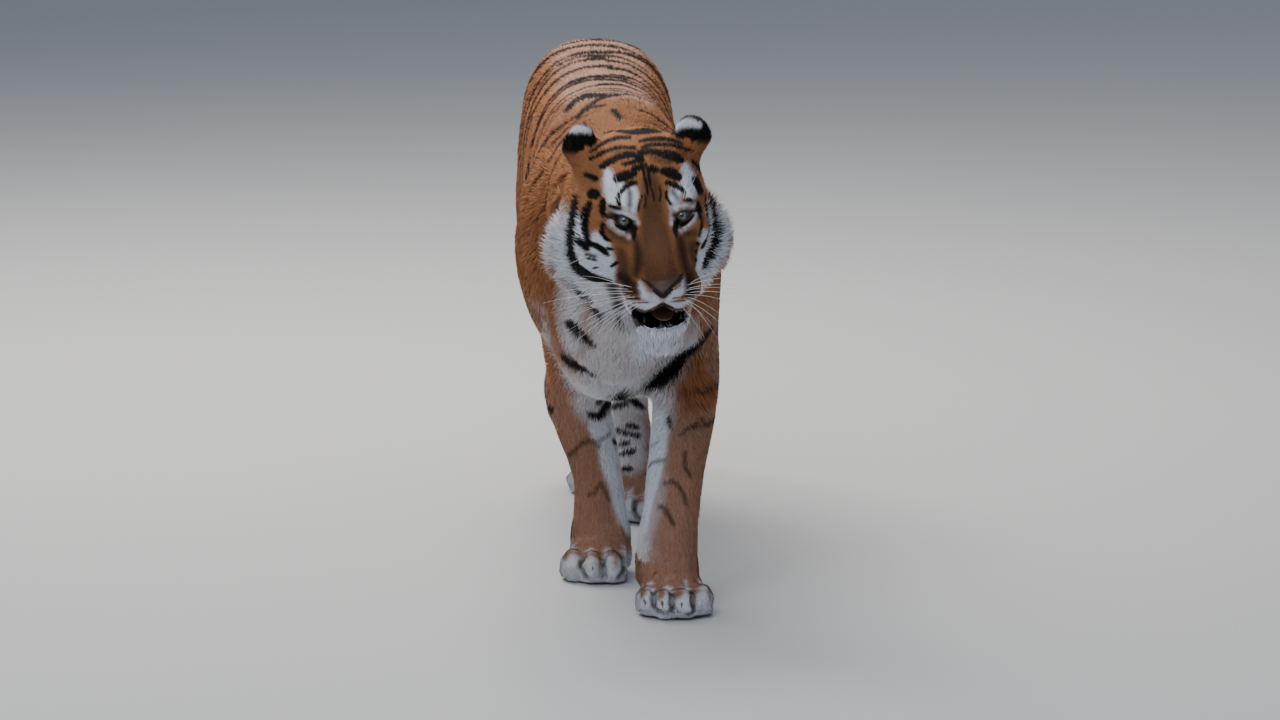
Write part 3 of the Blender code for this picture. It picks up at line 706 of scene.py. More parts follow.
# On the head it runs out from the tip of the nose, turned down on the ruff and the chin.
NOSE_TIP_AHEAD, NOSE_TIP_DROP = 0.135, 0.040
from_nose = np.column_stack([side, ahead - NOSE_TIP_AHEAD, above + NOSE_TIP_DROP])
from_nose[:, 0] *= 1.0 + 0.8 * cheek
from_nose[:, 2] -= 0.10 * cheek + 0.12 * chin
lie = np.where(of_head_or_nose[:, None], unit(from_nose) @ head_axes, lie)
ear_up = np.array(up_axis) * 0.9 - np.array(forward_axis) * 0.3
for which, hand in (("left", 1), ("right", -1)):
    lie[belongs("ear_" + which)] = ear_up + np.array(side_axis) * 0.4 * hand

# The middle line of the tail, through its lengths.
tail_line = []
previous = np.array(middle("rump"))
for name in sorted(name for name in flesh if name.startswith("tail_")):
    cloud = np.array([vertex.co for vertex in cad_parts[name].data.vertices])
    far = np.linalg.norm(cloud - previous, axis=1)
    low, high = np.percentile(far, (8, 92))
    if not tail_line:
        tail_line.append(cloud[far < low].mean(axis=0))
    tail_line.append(cloud[np.abs(far - (low + high) / 2) < 0.25 * (high - low)].mean(axis=0))
    tail_line.append(cloud[far > high].mean(axis=0))
    previous = tail_line[-2]
tail_line = np.array(tail_line)
tail_steps = np.r_[0.0, np.cumsum(np.linalg.norm(np.diff(tail_line, axis=0), axis=1))]
tail_length = tail_steps[-1]
of_tail = belongs("tail")
tail_points = outer[of_tail]
tail_reach = np.zeros(len(tail_points))
tail_lie = np.zeros((len(tail_points), 3))
nearest = np.full(len(tail_points), 9.0)
for start, end, begun in zip(tail_line, tail_line[1:], tail_steps):
    along = end - start
    t = np.clip((tail_points - start) @ along / (along @ along), 0.0, 1.0)
    away = np.linalg.norm(tail_points - start - t[:, None] * along, axis=1)
    closer = away < nearest
    nearest[closer] = away[closer]
    tail_reach[closer] = (begun + t * np.linalg.norm(along))[closer]
    tail_lie[closer] = along / np.linalg.norm(along)
lie[of_tail] = tail_lie

# The lie is eased over the joins and then waves a little, as a coat does.
LIE_PASSES = 30
lie = spread_out(unit(lie), LIE_PASSES)
wave = (0.22 * np.sin(outer @ np.array([31.0, 17.0, 23.0]))
        + 0.16 * np.sin(outer @ np.array([-47.0, 58.0, 39.0]) + 1.3))
lie += np.cross(outward_normals, lie) * (wave * ramp(hair, 0.006, 0.02))[:, None]
lie = unit(lie - outward_normals * (lie * outward_normals).sum(axis=1)[:, None])

# Markings are worked out where the hair that is rooted at each point shows.
SHOWN_PART = 0.5
shown = outer + lie * (hair * SHOWN_PART)[:, None]


# ---------------------------------------------------------------- the markings
# Black stripes, pale patches and darker orange ones, the same on hide and coat, and painted shade
# beside the bridge of the nose, between the toes and inside the mouth. Those of the head, chest and
# forelegs are drawn as strokes. Those of the flanks, hind legs and tail follow the rule of the
# species:
# stripes from the spine down that run out to a point, bars, and rings on the tail.

ink = np.zeros(count)              # 1 is black
pale = np.zeros(count)             # 1 is white
deep = np.zeros(count)             # 1 is the darkest orange-brown
bare = np.zeros(count)             # 1 has no hair: nose leather, lips, eyelid rims

FACE_SOFT, BODY_SOFT = 0.0016, 0.0040

FOREHEAD = [
    ([(-94, 159), (-68, 163), (-43, 161), (-29, 161)], (2, 2.5, 4, 5)),
    ([(-45, 161), (-20, 163), (-10, 164), (8, 165)], (4, 6, 6, 4)),
    ([(-10, 163), (13, 163), (36, 159), (50, 150)], (4.5, 3.5, 3, 2)),
    ([(-117, 123), (-92, 141), (-68, 150), (-43, 151)], (2, 3, 3.5, 3)),
    ([(-24, 144), (-10, 147), (13, 149), (36, 146), (55, 139)], (3, 4, 4, 3.5, 2)),
    ([(-117, 111), (-96, 122), (-75, 130), (-57, 133), (-34, 132)], (2.5, 3.5, 3.5, 3.5, 3)),
    ([(-20, 133), (-1, 138), (20, 138), (41, 136), (62, 129), (76, 125)], (3, 3.5, 3.5, 3, 2.5, 2)),
    ([(-96, 97), (-85, 104), (-68, 113), (-47, 119), (-29, 118), (-22, 123)], (5, 6, 6, 6, 5, 6)),
    ([(-22, 123), (-6, 125), (13, 122), (32, 118), (48, 111), (55, 107)], (6, 5, 6, 9, 8, 4)),
    ([(-24, 122), (-22, 110)], 6),
    ([(-57, 102), (-40, 104), (-24, 111)], (3, 4, 4))]
BROW = [
    ([(-67, 75), (-53, 79), (-36, 84)], (8, 10, 7)),
    ([(-34, 93), (-20, 97)], 6),
    ([(-21, 106), (-17, 86), (-12, 62), (-10, 44)], (2, 2.5, 2.5, 1.5)),
    ([(-13, 102), (-8, 81), (-5, 62)], (2, 2.5, 2)),
    ([(-3, 93), (7, 90)], (7, 5)),
    ([(20, 88), (36, 84), (48, 77)], (7, 10, 7)),
    ([(-67, 38), (-57, 54), (-46, 63), (-32, 67)], (3, 4, 5.5, 4)),
    ([(-64, 39), (-65, 30), (-62, 25)], (3, 4, 3)),
    ([(-81, 25), (-73, 20), (-63, 17)], (3.5, 4, 2.5)),
    ([(27, 67), (41, 63), (53, 55), (60, 48)], (4, 5, 4.5, 3)),
    ([(24, 50), (26, 38), (34, 26)], (2.5, 2.5, 2)),
    ([(60, 35), (67, 34), (73, 32)], (3, 4.5, 3)),
    ([(-27, 14), (-25, 28), (-21, 42)], 1.6), ([(-16, 20), (-13, 34), (-15, 44)], 1.2),
    ([(-4, 58), (0, 48), (2, 34)], 1.3), ([(12, 60), (15, 46), (13, 34)], 1.3)]
LEFT_CHEEK = [                     # as seen from the front
    ([(-114, 46), (-107, 45)], (9, 8)),
    ([(-126, 82), (-106, 74)], (4, 4)),
    ([(-148, 42), (-151, 23), (-157, -9), (-161, -48), (-157, -77), (-142, -98), (-110, -112),
      (-80, -118)], (4, 8, 9, 10, 11, 11, 7, 3)),
    ([(-120, 26), (-128, 4), (-127, -21), (-122, -44), (-106, -52), (-92, -61), (-85, -69)],
     (6, 8, 6, 4.5, 5, 5, 3)),
    ([(-140, -43), (-125, -55)], 6),
    ([(-94, 34), (-95, 19), (-93, 6)], (4, 6, 4)),
    ([(-94, -10), (-96, -26), (-89, -38), (-80, -42)], (2.5, 4.5, 3.5, 2)),
    ([(-85, -57), (-78, -58)], 2.5), ([(-122, -75), (-108, -79)], 1.6),
    ([(-78, -90), (-68, -83)], 2.5), ([(-105, -92), (-112, -94)], 1.5)]
RIGHT_CHEEK = [
    ([(80, 72), (90, 50)], 6), ([(84, 28), (88, 15)], 4),
    ([(86, 11), (92, -5), (88, -33)], 2.2),
    ([(101, 44), (105, 13), (106, -21), (99, -42), (92, -54)], (2.5, 3.5, 5, 5, 3.5)),
    ([(74, 107), (90, 90), (108, 60), (118, 36), (124, 8), (127, -21), (120, -54), (108, -76),
      (98, -92)], (2, 3, 3.5, 4.5, 6, 6.5, 7, 7, 4)),
    ([(84, -47), (85, -49)], 2.5), ([(82, -61), (82, -63)], 2), ([(81, -77), (82, -79)], 2)]
EYE_LINES = [                      # the dark rims and the tear ducts
    ([(-83, 3), (-73, 3), (-61, 3), (-48, 1), (-38, -9), (-33, -20)], (1.2, 1.4, 1.4, 1.6, 2.2, 3)),
    ([(-76, -3), (-68, -13), (-58, -19), (-47, -22), (-38, -26)], (1.5, 2, 2.5, 3, 4)),
    ([(-38, -20), (-36, -29), (-37, -40)], (4.5, 4.5, 2)),
    ([(-92, 5), (-83, 4)], 2),
    ([(81, 13), (70, 14), (56, 13), (46, 8), (42, -2), (40, -13)], (1.2, 1.4, 1.4, 1.6, 2.2, 3)),
    ([(76, 6), (70, -2), (60, -10), (50, -14), (42, -17)], (1.5, 2, 2.5, 3, 4)),
    ([(42, -14), (42, -22), (45, -34)], (4, 4.5, 2)),
    ([(85, 12), (80, 15)], 2)]
WIDEN = 1.10                       # a stripe in fur looks thinner than it is


def mark(strokes, field, soft, strength=1.0, as_seen=True, widen=1.0):
    """Strokes laid from the front and painted on a field of the markings."""
    for points, half_width in strokes:
        paint_runs(field, laid(points, widen * np.array(half_width)), soft, strength, as_seen)


mark(FOREHEAD + BROW + EYE_LINES, ink, FACE_SOFT)
ink[~(of_head | belongs("ear"))] = 0
DUSKY_MARKS_AND_BRIDGE_SHADE = [                          # dark, not black: painted shade beside the bridge, dark marks in the brows and whisker beds
    ([(-43, 48), (-43, 25)], 3), ([(36, 52), (46, 38)], 3),
    ([(-34, -34), (-30, -56), (-29, -84), (-32, -104)], (3, 6, 8, 6)),
    ([(48, -28), (51, -42), (56, -66), (62, -96)], (3, 6, 8, 6)),
    ([(-62, -108), (-50, -116), (-37, -123)], (8, 9, 6)), ([(-56, -130), (-30, -138)], (7, 4)),
    ([(66, -106), (72, -126), (71, -144)], (7, 9, 6)), ([(-76, -130), (-68, -150), (-64, -168)], 9)]
mark(DUSKY_MARKS_AND_BRIDGE_SHADE, ink, 0.009, 0.72)
mark(LEFT_CHEEK + RIGHT_CHEEK, ink, FACE_SOFT, widen=WIDEN)

NECK_AND_CHEST = [
    ([(-160, -195), (-145, -210), (-125, -225), (-110, -240)], (6, 10, 9, 4)),
    ([(-170, -258), (-155, -270), (-140, -280), (-125, -284), (-100, -295)], (6, 7, 6, 5, 3)),
    ([(112, -205), (98, -222), (82, -243), (60, -262), (38, -284), (12, -306), (-8, -318)],
     (3, 4, 5, 7, 11, 13, 6)),
    ([(-118, -365), (-100, -370), (-90, -358), (-80, -345), (-68, -338), (-55, -330),
      (-40, -335), (-25, -348), (-15, -352)], (4, 7, 7, 7, 7, 8, 7, 6, 3))]
WITHERS_SOFT = 0.0025
WITHERS = [
    ([(-162, 201), (-151, 215), (-136, 226), (-114, 232), (-88, 232)], (4, 4.5, 4, 3.5, 2)),
    ([(-142, 187), (-130, 202), (-114, 215), (-96, 224), (-76, 228)], (3.5, 3.5, 3, 2.5, 1.5)),
    ([(-74, 202), (-62, 190)], (4.5, 5)),
    ([(30, 205), (52, 215), (70, 222)], 2), ([(75, 185), (88, 200), (92, 215)], 2)]
FAINT_CHEST = [
    ([(-147, -135), (-130, -150), (-118, -168), (-100, -190)], 8),
    ([(-125, -68), (-108, -72)], 3),
    ([(-60, 222), (-40, 222), (-20, 215)], 3),
    ([(-85, 234), (-60, 236), (-40, 230)], 3)]
LEGS = [                           # browner than the stripes of the body
    ([(-158, -442), (-145, -432), (-130, -418), (-115, -415), (-100, -425)], 4),
    ([(-100, -415), (-85, -405), (-78, -400)], 3),
    ([(-120, -515), (-108, -510), (-98, -495), (-88, -510), (-80, -525)], 3),
    ([(60, -435), (60, -460), (70, -478)], 4),
    ([(22, -492), (40, -490), (55, -508), (62, -530)], 4),
    ([(12, -535), (25, -545), (38, -568)], 5),
    ([(50, -402), (70, -388), (95, -372)], 3),
    ([(-12, -430), (0, -420), (8, -415)], 2),
    ([(-10, -462), (0, -452), (20, -450)], 3)]
HIND_BARS = [
    ([(-48, -385), (-28, -388)], 3.5),
    ([(-72, -393), (-55, -398), (-40, -402), (-25, -404)], 4),
    ([(-70, -415), (-62, -420), (-48, -418)], 4),
    ([(-65, -440), (-52, -438), (-35, -432)], 4),
    ([(-60, -465), (-42, -465)], 4)]
mark(NECK_AND_CHEST, ink, BODY_SOFT)
mark(WITHERS, ink, WITHERS_SOFT)
mark(FAINT_CHEST, ink, BODY_SOFT, 0.75, as_seen=False)
mark(LEGS, ink, BODY_SOFT, 0.50, as_seen=False)
mark(HIND_BARS, ink, WITHERS_SOFT)

# White and pale patches, then the darker orange ones, each a wide soft stroke.
WHITE = [
    ([(-84, 86), (-80, 60), (-75, 32)], (7, 14, 11)),
    ([(-60, 62), (-56, 42), (-52, 18)], (8, 12, 7)),
    ([(-37, 56), (-36, 40), (-38, 14)], (6, 8, 6)),
    ([(62, 97), (66, 72), (72, 46)], (7, 14, 11)), ([(47, 60), (44, 40), (42, 20)], (6, 9, 6)),
    ([(34, 57), (34, 38), (36, 20)], (3, 5, 4)),
    ([(-84, 11), (-70, 11), (-56, 10), (-43, 6), (-30, -8)], (2, 3, 3.5, 4, 3)),
    ([(44, 23), (58, 24), (77, 22)], (3, 4, 3)), ([(37, 14), (35, -10)], 2.5),
    ([(-82, -1), (-75, -11), (-66, -19), (-55, -25), (-46, -28), (-45, -34)], 2.6),
    ([(80, 9), (76, -3), (66, -12), (56, -18), (50, -22), (51, -28)], 2.6),
    ([(-140, -10), (-160, -42), (-152, -90), (-112, -112)], (12, 34, 36, 26)),
    ([(-106, -34), (-100, -60), (-98, -95)], (9, 20, 24)),
    ([(-88, -50), (-84, -80), (-82, -112)], (7, 12, 12)),
    ([(98, -28), (94, -60), (90, -90)], (8, 12, 12)),
    ([(113, 34), (114, -5), (112, -35)], (3, 6, 6)),
    ([(128, 12), (132, -20), (128, -55), (112, -88)], (8, 14, 18, 16)),
    ([(-25, -121), (-17, -141), (-3, -149), (12, -155)], (3, 8, 9, 5)),
    ([(58, -115), (55, -133), (43, -142), (26, -153)], (3, 8, 9, 5)),
    ([(-50, -155), (-30, -160), (-12, -164), (4, -161), (15, -157)], (4, 6, 8, 6, 3)),
    ([(21, -157), (36, -160), (48, -162), (60, -157), (80, -146)], (3, 6, 7, 5, 2)),
    ([(-46, -218), (0, -218), (48, -212)], (9, 20, 12)),
    ([(-20, -205), (-20, -250)], 24), ([(20, -205), (15, -250)], 22),
    ([(12, -372), (10, -389), (3, -461), (-10, -534), (-19, -585)], (18, 19, 15, 9, 6)),
    ([(-100, -389), (-85, -425), (-79, -461), (-68, -498), (-61, -534), (-47, -570), (-34, -599)],
     (20, 18, 17, 13, 12, 9, 5))]
PALE = [
    ([(-150, -130), (-155, -180), (-150, -230)], 26), ([(-60, -200), (-60, -260)], 62),
    ([(40, -215), (20, -265)], 38), ([(-100, -280), (-105, -340)], 44),
    ([(-50, -290), (-45, -340)], 40),
    ([(5, -330), (12, -380)], (32, 24)), ([(-100, -150), (-94, -180), (-80, -212)], 12),
    ([(-45, -395), (-45, -440)], 34)]
DEEP = [
    ([(-3, 70), (0, 0), (6, -50), (14, -100)], (16, 24, 32, 36)),
    ([(-88, -14), (-72, -30), (-52, -42)], (7, 9, 9)),
    ([(-60, -60), (-54, -90), (-52, -112)], (9, 12, 12)),
    ([(62, -28), (76, -26)], (8, 9)), ([(74, -50), (76, -80), (74, -104)], (9, 9, 8)),
    ([(84, 24), (86, 4)], 5), ([(-60, -124), (-34, -132)], 8), ([(64, -118), (72, -134)], 8),
    ([(5, 112), (30, 106)], 7), ([(-70, 124), (-30, 126)], 3), ([(-8, 131), (60, 122)], 3)]
mark(WHITE, pale, 0.006)
mark(PALE, pale, 0.020, 0.75)
mark(DEEP, deep, 0.012, 0.85)


# The stripes of the flanks run down from the spine. Each is thrown in towards the middle of the
# body at its place along it (y) and its angle from straight up.
AXIS_HEIGHT = 0.655
THROWN_FROM = 0.6                  # how far out of the body's middle the throw starts
STRIPE_STEP = 4.0                  # degrees
chance = np.random.default_rng(11)


def thrown_in(x, y, z, direction):
    """The surface met when coming in from outside along a direction, or None."""
    outside = Vector((x, y, z)) + Vector(direction) * THROWN_FROM
    return surface.ray_cast(outside, -Vector(direction), THROWN_FROM)[0]


def stripe_runs(places, widths):
    """Runs of a stripe that was thrown in, no finer than the finest line."""
    return runs_of(places, np.maximum(widths, FINEST_LINE / 1000), STRIPE_JUMP)


def flank_stripe(y, lean, first, last, width, hand, bow=0.0):
    """One stripe from angle first to last (degrees from the spine) on the side hand (1 or -1),
    leaning back by lean and bowed by bow. It swells half way and runs out to a point, and one
    that starts on the spine is broad there as well."""
    places, widths = [], []
    wander = chance.uniform(0, 6.28)
    for angle in np.arange(first, last + 1, STRIPE_STEP):
        part = (angle - first) / (last - first)
        turn = math.radians(angle)
        along = y + lean * part + bow * math.sin(math.pi * part)
        along += 0.005 * math.sin(wander + angle / 9)
        places.append(thrown_in(0.0, along, AXIS_HEIGHT,
                                (hand * math.sin(turn), 0.0, math.cos(turn))))
        swell = math.sin(math.pi * min(1.0, 0.12 + 0.88 * part) ** 1.15) ** 0.7
        back = 1.30 - 0.75 * min(1.0, angle / 40) if first < 10 else 0.1
        widths.append(width * max(swell, back) * (1 + 0.2 * math.sin(wander + angle / 5)))
    return stripe_runs(places, widths)


FIRST_STRIPE, LAST_STRIPE, STRIPES = -0.43, 0.53, 17
HAUNCH_PART, HAUNCH_END, SHOULDER_END = 0.68, 88, 80
WEDGES, FIRST_WEDGE, WEDGE_STEP, WEDGE_WIDTH = 9, -0.34, 0.095, 0.0065
NECK_STRIPES = ((-0.60, 14, 66, 0.006), (-0.52, 8, 84, 0.0065), (-0.565, 10, 40, 0.005),
                (-0.655, 24, 74, 0.005), (-0.47, 40, 88, 0.005))
for hand in (1, -1):
    for number in range(STRIPES):
        y = FIRST_STRIPE + (LAST_STRIPE - FIRST_STRIPE) * number / (STRIPES - 1)
        y += chance.uniform(-0.012, 0.012)
        back_part = number / (STRIPES - 1)
        lean = -0.02 + 0.10 * back_part + chance.uniform(-0.015, 0.015)
        last = chance.uniform(98, 142) if number % 3 else chance.uniform(62, 84)
        first = chance.uniform(-4, 3)
        width = chance.uniform(0.0075, 0.0100) * (0.85 + 0.25 * back_part)
        if back_part > HAUNCH_PART:  # those of the haunch stop where the bars of the thigh begin
            last = min(last, HAUNCH_END)
        if number < 2:             # and those of the shoulder stop short of the chest
            last = min(last, SHOULDER_END)
        paint_runs(ink, flank_stripe(y, lean, first, last, width, hand,
                                     chance.uniform(-0.012, 0.012)), BODY_SOFT)
        if number % 2:             # a second arm that closes a loop or forks off low down
            paint_runs(ink, flank_stripe(y + 0.022, lean + 0.006, chance.uniform(30, 45),
                                         last - 12, 0.7 * width, hand, 0.012), BODY_SOFT)
        if number % 3 == 1:        # short bars between the long stripes
            paint_runs(ink, flank_stripe(y + 0.032, 0.0, -6, 34, 0.7 * width, hand), BODY_SOFT)
    for number in range(WEDGES):   # short wedges that rise from the belly between the others
        y = FIRST_WEDGE + WEDGE_STEP * number + chance.uniform(-0.015, 0.015)
        wedge = flank_stripe(y, chance.uniform(-0.02, 0.02), chance.uniform(96, 108),
                             chance.uniform(138, 158), WEDGE_WIDTH, hand)
        paint_runs(ink, wedge, BODY_SOFT)
    for y, first, last, width in NECK_STRIPES:
        paint_runs(ink, flank_stripe(y, 0.03, first, last, width, hand), BODY_SOFT, 0.9)


def leg_bar(node, height, start, turn, width, drop=0.02):
    """A bar round a leg at a height, from the angle start on through turn. The angles are degrees
    from straight ahead, with 90 on the animal's left."""
    place = middle(node)
    places, widths = [], []
    for part in np.linspace(0, 1, max(3, int(abs(turn) / 7))):
        angle = math.radians(start + turn * part)
        places.append(thrown_in(place.x, place.y, height - drop * part,
                                (math.sin(angle), -math.cos(angle), 0.0)))
        widths.append(width * math.sin(math.pi * min(0.97, 0.3 + 0.7 * part)))
    return stripe_runs(places, widths)


THIGH_BARS = (0.63, 0.575, 0.52, 0.465, 0.41)   # their heights, here and below
SHANK_BARS = (0.355, 0.305, 0.255, 0.205, 0.16)
FOREARM_BARS, UPPER_ARM_BARS = (0.40, 0.34), (0.50, 0.44)
INNER_SHANK_BARS = (0.43, 0.375, 0.32, 0.265, 0.215)
for which, hand in (("left", 1), ("right", -1)):
    for height in THIGH_BARS:
        jog = chance.uniform(-0.008, 0.008)
        turn = -chance.uniform(80, 120)
        paint_runs(ink, leg_bar("thigh_hind_" + which, height + jog, hand * 175, hand * turn,
                                0.0075, 0.045), BODY_SOFT)
    for height in SHANK_BARS:
        turn = -chance.uniform(70, 115)
        paint_runs(ink, leg_bar("shank_hind_" + which, height, hand * 178, hand * turn, 0.006),
                   BODY_SOFT, 0.9)
    for height in FOREARM_BARS:
        paint_runs(ink, leg_bar("forearm_fore_" + which, height, -hand * 95, hand * 70, 0.005),
                   BODY_SOFT, 0.85)
    for height in UPPER_ARM_BARS:
        paint_runs(ink, leg_bar("upper_arm_fore_" + which, height, hand * 100, -hand * 45, 0.004),
                   BODY_SOFT, 0.6)
    for height in INNER_SHANK_BARS:
        paint_runs(ink, leg_bar("shank_hind_" + which, height, -hand * 45, -hand * 90, 0.0065),
                   BODY_SOFT, 0.85)

# The tail: rings square to its middle line, and a black tip.
TAIL_RING, TAIL_TIP = 0.058, 0.045
ring_phase = np.abs((tail_reach - 0.05) / TAIL_RING % 1.0 - 0.5) * TAIL_RING
ring_half = 0.008 + 0.006 * tail_reach / tail_length
rings = 1 - ramp(ring_phase, ring_half - 0.003, ring_half + 0.003)
rings *= ramp(tail_reach, 0.06, 0.12)
tip = ramp(tail_reach, tail_length - TAIL_TIP - 0.01, tail_length - TAIL_TIP + 0.01)
ink[of_tail] = np.maximum(ink[of_tail], np.maximum(rings, tip))

# The pale underside: belly, lower and inner sides of the legs, toes, under the tail.
LEG_PALENESS = 0.10                # the legs' orange is duller than the body's
LOW_RUMP, TOE_EDGE = 0.55, 0.054
height_of = outer[:, 2]
belly = underside * fade(height_of, 0.48, 0.62)
pale = np.where(belongs("trunk", "rump"), np.maximum(pale, 0.9 * belly), pale)
leg_side = np.zeros(count)
for which, hand in (("left", 1), ("right", -1)):
    for limb in ("upper_arm_fore_", "forearm_fore_", "thigh_hind_", "shank_hind_"):
        leg_side[belongs(limb + which)] = hand
of_limb = (leg_side != 0) | belongs("paw")
pale = np.maximum(pale, LEG_PALENESS * of_limb * fade(height_of, 0.50, 0.62))
low_rump = belongs("rump") & (height_of < LOW_RUMP)
leg_side[low_rump] = np.sign(outer[low_rump, 0])
inner = ramp(-skinward[:, 0] * leg_side, 0.05, 0.85) * fade(height_of, 0.54, 0.62)
pale = np.maximum(pale, 0.85 * inner * (leg_side != 0))
toe_edge = TOE_EDGE + 0.008 * np.sin(outer[:, 0] * 190) + 0.005 * np.sin(outer[:, 1] * 260 + 1)
toes = ramp(toe_edge - height_of, -0.012, 0.012)
pale = np.where(belongs("paw"), np.maximum(pale, 0.9 * toes), pale)
tail_under = ramp((skinward[of_tail] * np.cross(tail_lie, (1.0, 0.0, 0.0))).sum(axis=1), 0.2, 0.9)
tail_under *= ramp(tail_reach, 0.10, 0.20)
pale[of_tail] = np.maximum(pale[of_tail], 0.75 * tail_under)

# The white fringe of the ruff and the white under the jaw.
fringe = cheek * fade(above, -0.010, 0.025) * ramp(ahead, -0.185, -0.12)
fringe *= fade(seen_up, 4, 26)
pale = np.where(of_head, np.maximum(pale, 0.78 * ramp(fringe, 0.12, 0.40)), pale)
jaw_under = of_head * fade(above, -0.15, -0.10)
pale = np.maximum(pale, 0.9 * jaw_under)

# Along the spine the orange is deeper on neck and withers, and a little paler behind them.
spine = ramp(skinward[:, 2], 0.55, 0.95) * belongs("trunk", "rump", "neck")
forward_of_back = fade(outer[:, 1], -0.52, -0.44)
deep = np.maximum(deep, 0.30 * spine * forward_of_back)
pale = np.maximum(pale, 0.14 * spine * (1 - forward_of_back))

# The ears: black backs with a white spot, pale inside. The back is the side that shows from the
# front here, because the ears are turned.
EAR_SPOTS = {"left": [(35, 168), (62, 178), (86, 173)],
             "right": [(-163, 160), (-140, 168), (-115, 163)]}
SPOT_WIDTHS = (8, 11, 8)
for which, spot in EAR_SPOTS.items():
    of_ear = belongs("ear_" + which)
    ear_height = middle("ear_" + which).z
    back = ramp(skinward @ np.array(gaze), -0.2, 0.2)
    high = ramp(outer[:, 2], ear_height - 0.030, ear_height - 0.012)
    ink[of_ear] = np.maximum(ink, back * high)[of_ear]
    white_spot = np.zeros(count)
    paint_runs(white_spot, laid(spot, SPOT_WIDTHS), 0.004)
    ink[of_ear] *= (1 - white_spot)[of_ear]
    pale[of_ear] = np.maximum(white_spot, 0.8 * (1 - back))[of_ear]
pale = spread_out(pale, 2)

# Painted shade down in the gaps between the toes, at their lower ends.
TOE_GAP_SHADED_STEPS, TOE_GAP_SHADE_WIDER = 5, 0.0030
for run in toe_gaps:
    paint_runs(ink, [run[:TOE_GAP_SHADED_STEPS] + np.array([0, 0, 0, TOE_GAP_SHADE_WIDER])], 0.0040, 0.75)

# Lips, nose leather and the rims of the lids are bare and dark, and the gape, drawn back into the
# mouth, is painted the same near black as painted shade. The leather fills the V and no more, and
# the tear ducts are bare down their middle.
LIPS = [([(18, -159), (0, -169), (-15, -174), (-29, -169), (-44, -165), (-66, -168)], 2.0),
        ([(18, -159), (32, -166), (43, -171), (60, -168)], 2.0),
        ([(-66, -172), (-62, -200), (-47, -209), (-28, -202), (8, -197), (43, -196), (60, -190)],
         2.4)]
WHISKER_ROWS = [([(-50, -149), (-26, -150)], 1.8), ([(-40, -158), (-10, -157)], 1.0),
                ([(38, -149), (64, -145)], 1.6), ([(34, -157), (62, -153)], 1.0)]
NOSE_EDGE = [(NOSE_V, (2, 4, 5, 5, 4, 5, 5, 4.5, 3, 2)), ([(18, -150), (18, -159)], 1.2)]
NOSE_TOP = [(45, -104), (20, -113), (0, -113)]
DUCTS, DUCT_SHARE = (EYE_LINES[2], EYE_LINES[6]), 0.6
mark(WHISKER_ROWS, ink, FACE_SOFT, 0.85, as_seen=False)
black_bare_and_mouth_shade = np.zeros(count)
mark(NOSE_EDGE + LIPS, black_bare_and_mouth_shade, FACE_SOFT, as_seen=False)
seen_right, seen_up = seen_from_front(outer)
leather = inside(NOSE_V + NOSE_TOP, seen_right, seen_up)[0] & of_head_or_nose & (ahead > 0.06)
# The gape, drawn back into the mouth, is painted near black: painted shade inside the mouth.
black_bare_and_mouth_shade = np.maximum(black_bare_and_mouth_shade, gape)
mark(DUCTS, black_bare_and_mouth_shade, FACE_SOFT, as_seen=False, widen=DUCT_SHARE)
lids = np.maximum(inside_lids, lid_rim)
ink = np.maximum(ink, np.maximum(black_bare_and_mouth_shade, lids))
bare = np.maximum(np.maximum(leather, black_bare_and_mouth_shade), lids)


# The hide's own finish: the colours of the coat with a fine grain of hair over it, and bare
# leather on the nose, lips and lids, whose near black is also painted inside the gape as shade.
ORANGE, DEEP_ORANGE = (0.37, 0.136, 0.050), (0.080, 0.038, 0.020)
PALE_ORANGE, SKIN_BROWN = (0.42, 0.20, 0.095), (0.05, 0.03, 0.02)
WHITE_HAIR, BLACK_HAIR = (0.80, 0.84, 0.93), (0.007, 0.0065, 0.0065)
LEATHER, PALE_LEATHER = (0.050, 0.026, 0.018), (0.095, 0.052, 0.038)
# Near black of the lips, also painted inside the gape as painted shade.
LIP_AND_MOUTH_SHADE = (0.004, 0.0035, 0.0035)
HAIR_ROUGHNESS, LEATHER_SMOOTHER, LIP_SMOOTHER = 0.85, 0.42, 0.22


def coat_colour(paint):
    """The colour of the coat from the markings carried by hide and hair alike."""
    colour = paint.mix(paint.noise(9.0) * 0.30, ORANGE, PALE_ORANGE)
    colour = paint.mix(paint.attribute("deep"), colour, DEEP_ORANGE)
    colour = paint.mix(paint.attribute("pale"), colour, WHITE_HAIR)
    return paint.mix(paint.attribute("ink"), colour, BLACK_HAIR)


hide_paint = Paint("hide", Roughness=HAIR_ROUGHNESS)
hide_paint.shader.inputs["Specular IOR Level"].default_value = 0.25
hair_grain = hide_paint.noise(420.0, 3.0, (1.0, 0.25, 0.25))
hide_colour = coat_colour(hide_paint)
hide_colour = hide_paint.mix(hair_grain * 0.5, hide_colour, SKIN_BROWN)
nose_grain = hide_paint.noise(900.0, 2.0)
leather_colour = hide_paint.mix(nose_grain.rise(0.35, 0.7), LEATHER, PALE_LEATHER)
leather_colour = hide_paint.mix(hide_paint.attribute("ink"), leather_colour, LIP_AND_MOUTH_SHADE)
bareness = hide_paint.attribute("bare")
hide_paint.drive("Base Color", hide_paint.mix(bareness, hide_colour, leather_colour))
smoother = LEATHER_SMOOTHER - hide_paint.attribute("ink") * LIP_SMOOTHER
hide_paint.drive("Roughness", HAIR_ROUGHNESS - bareness * smoother)
hide_paint.bump(hair_grain * (1.0 - bareness) + nose_grain * bareness * 0.6, 0.0012, 0.6)


def set_fields(mesh, fields):
    """Markings and the like, written on the points of a mesh for its paint to read."""
    for name, values in fields.items():
        layer = mesh.attributes.new(name, "FLOAT", "POINT")
        layer.data.foreach_set("value", values.astype(np.float32))


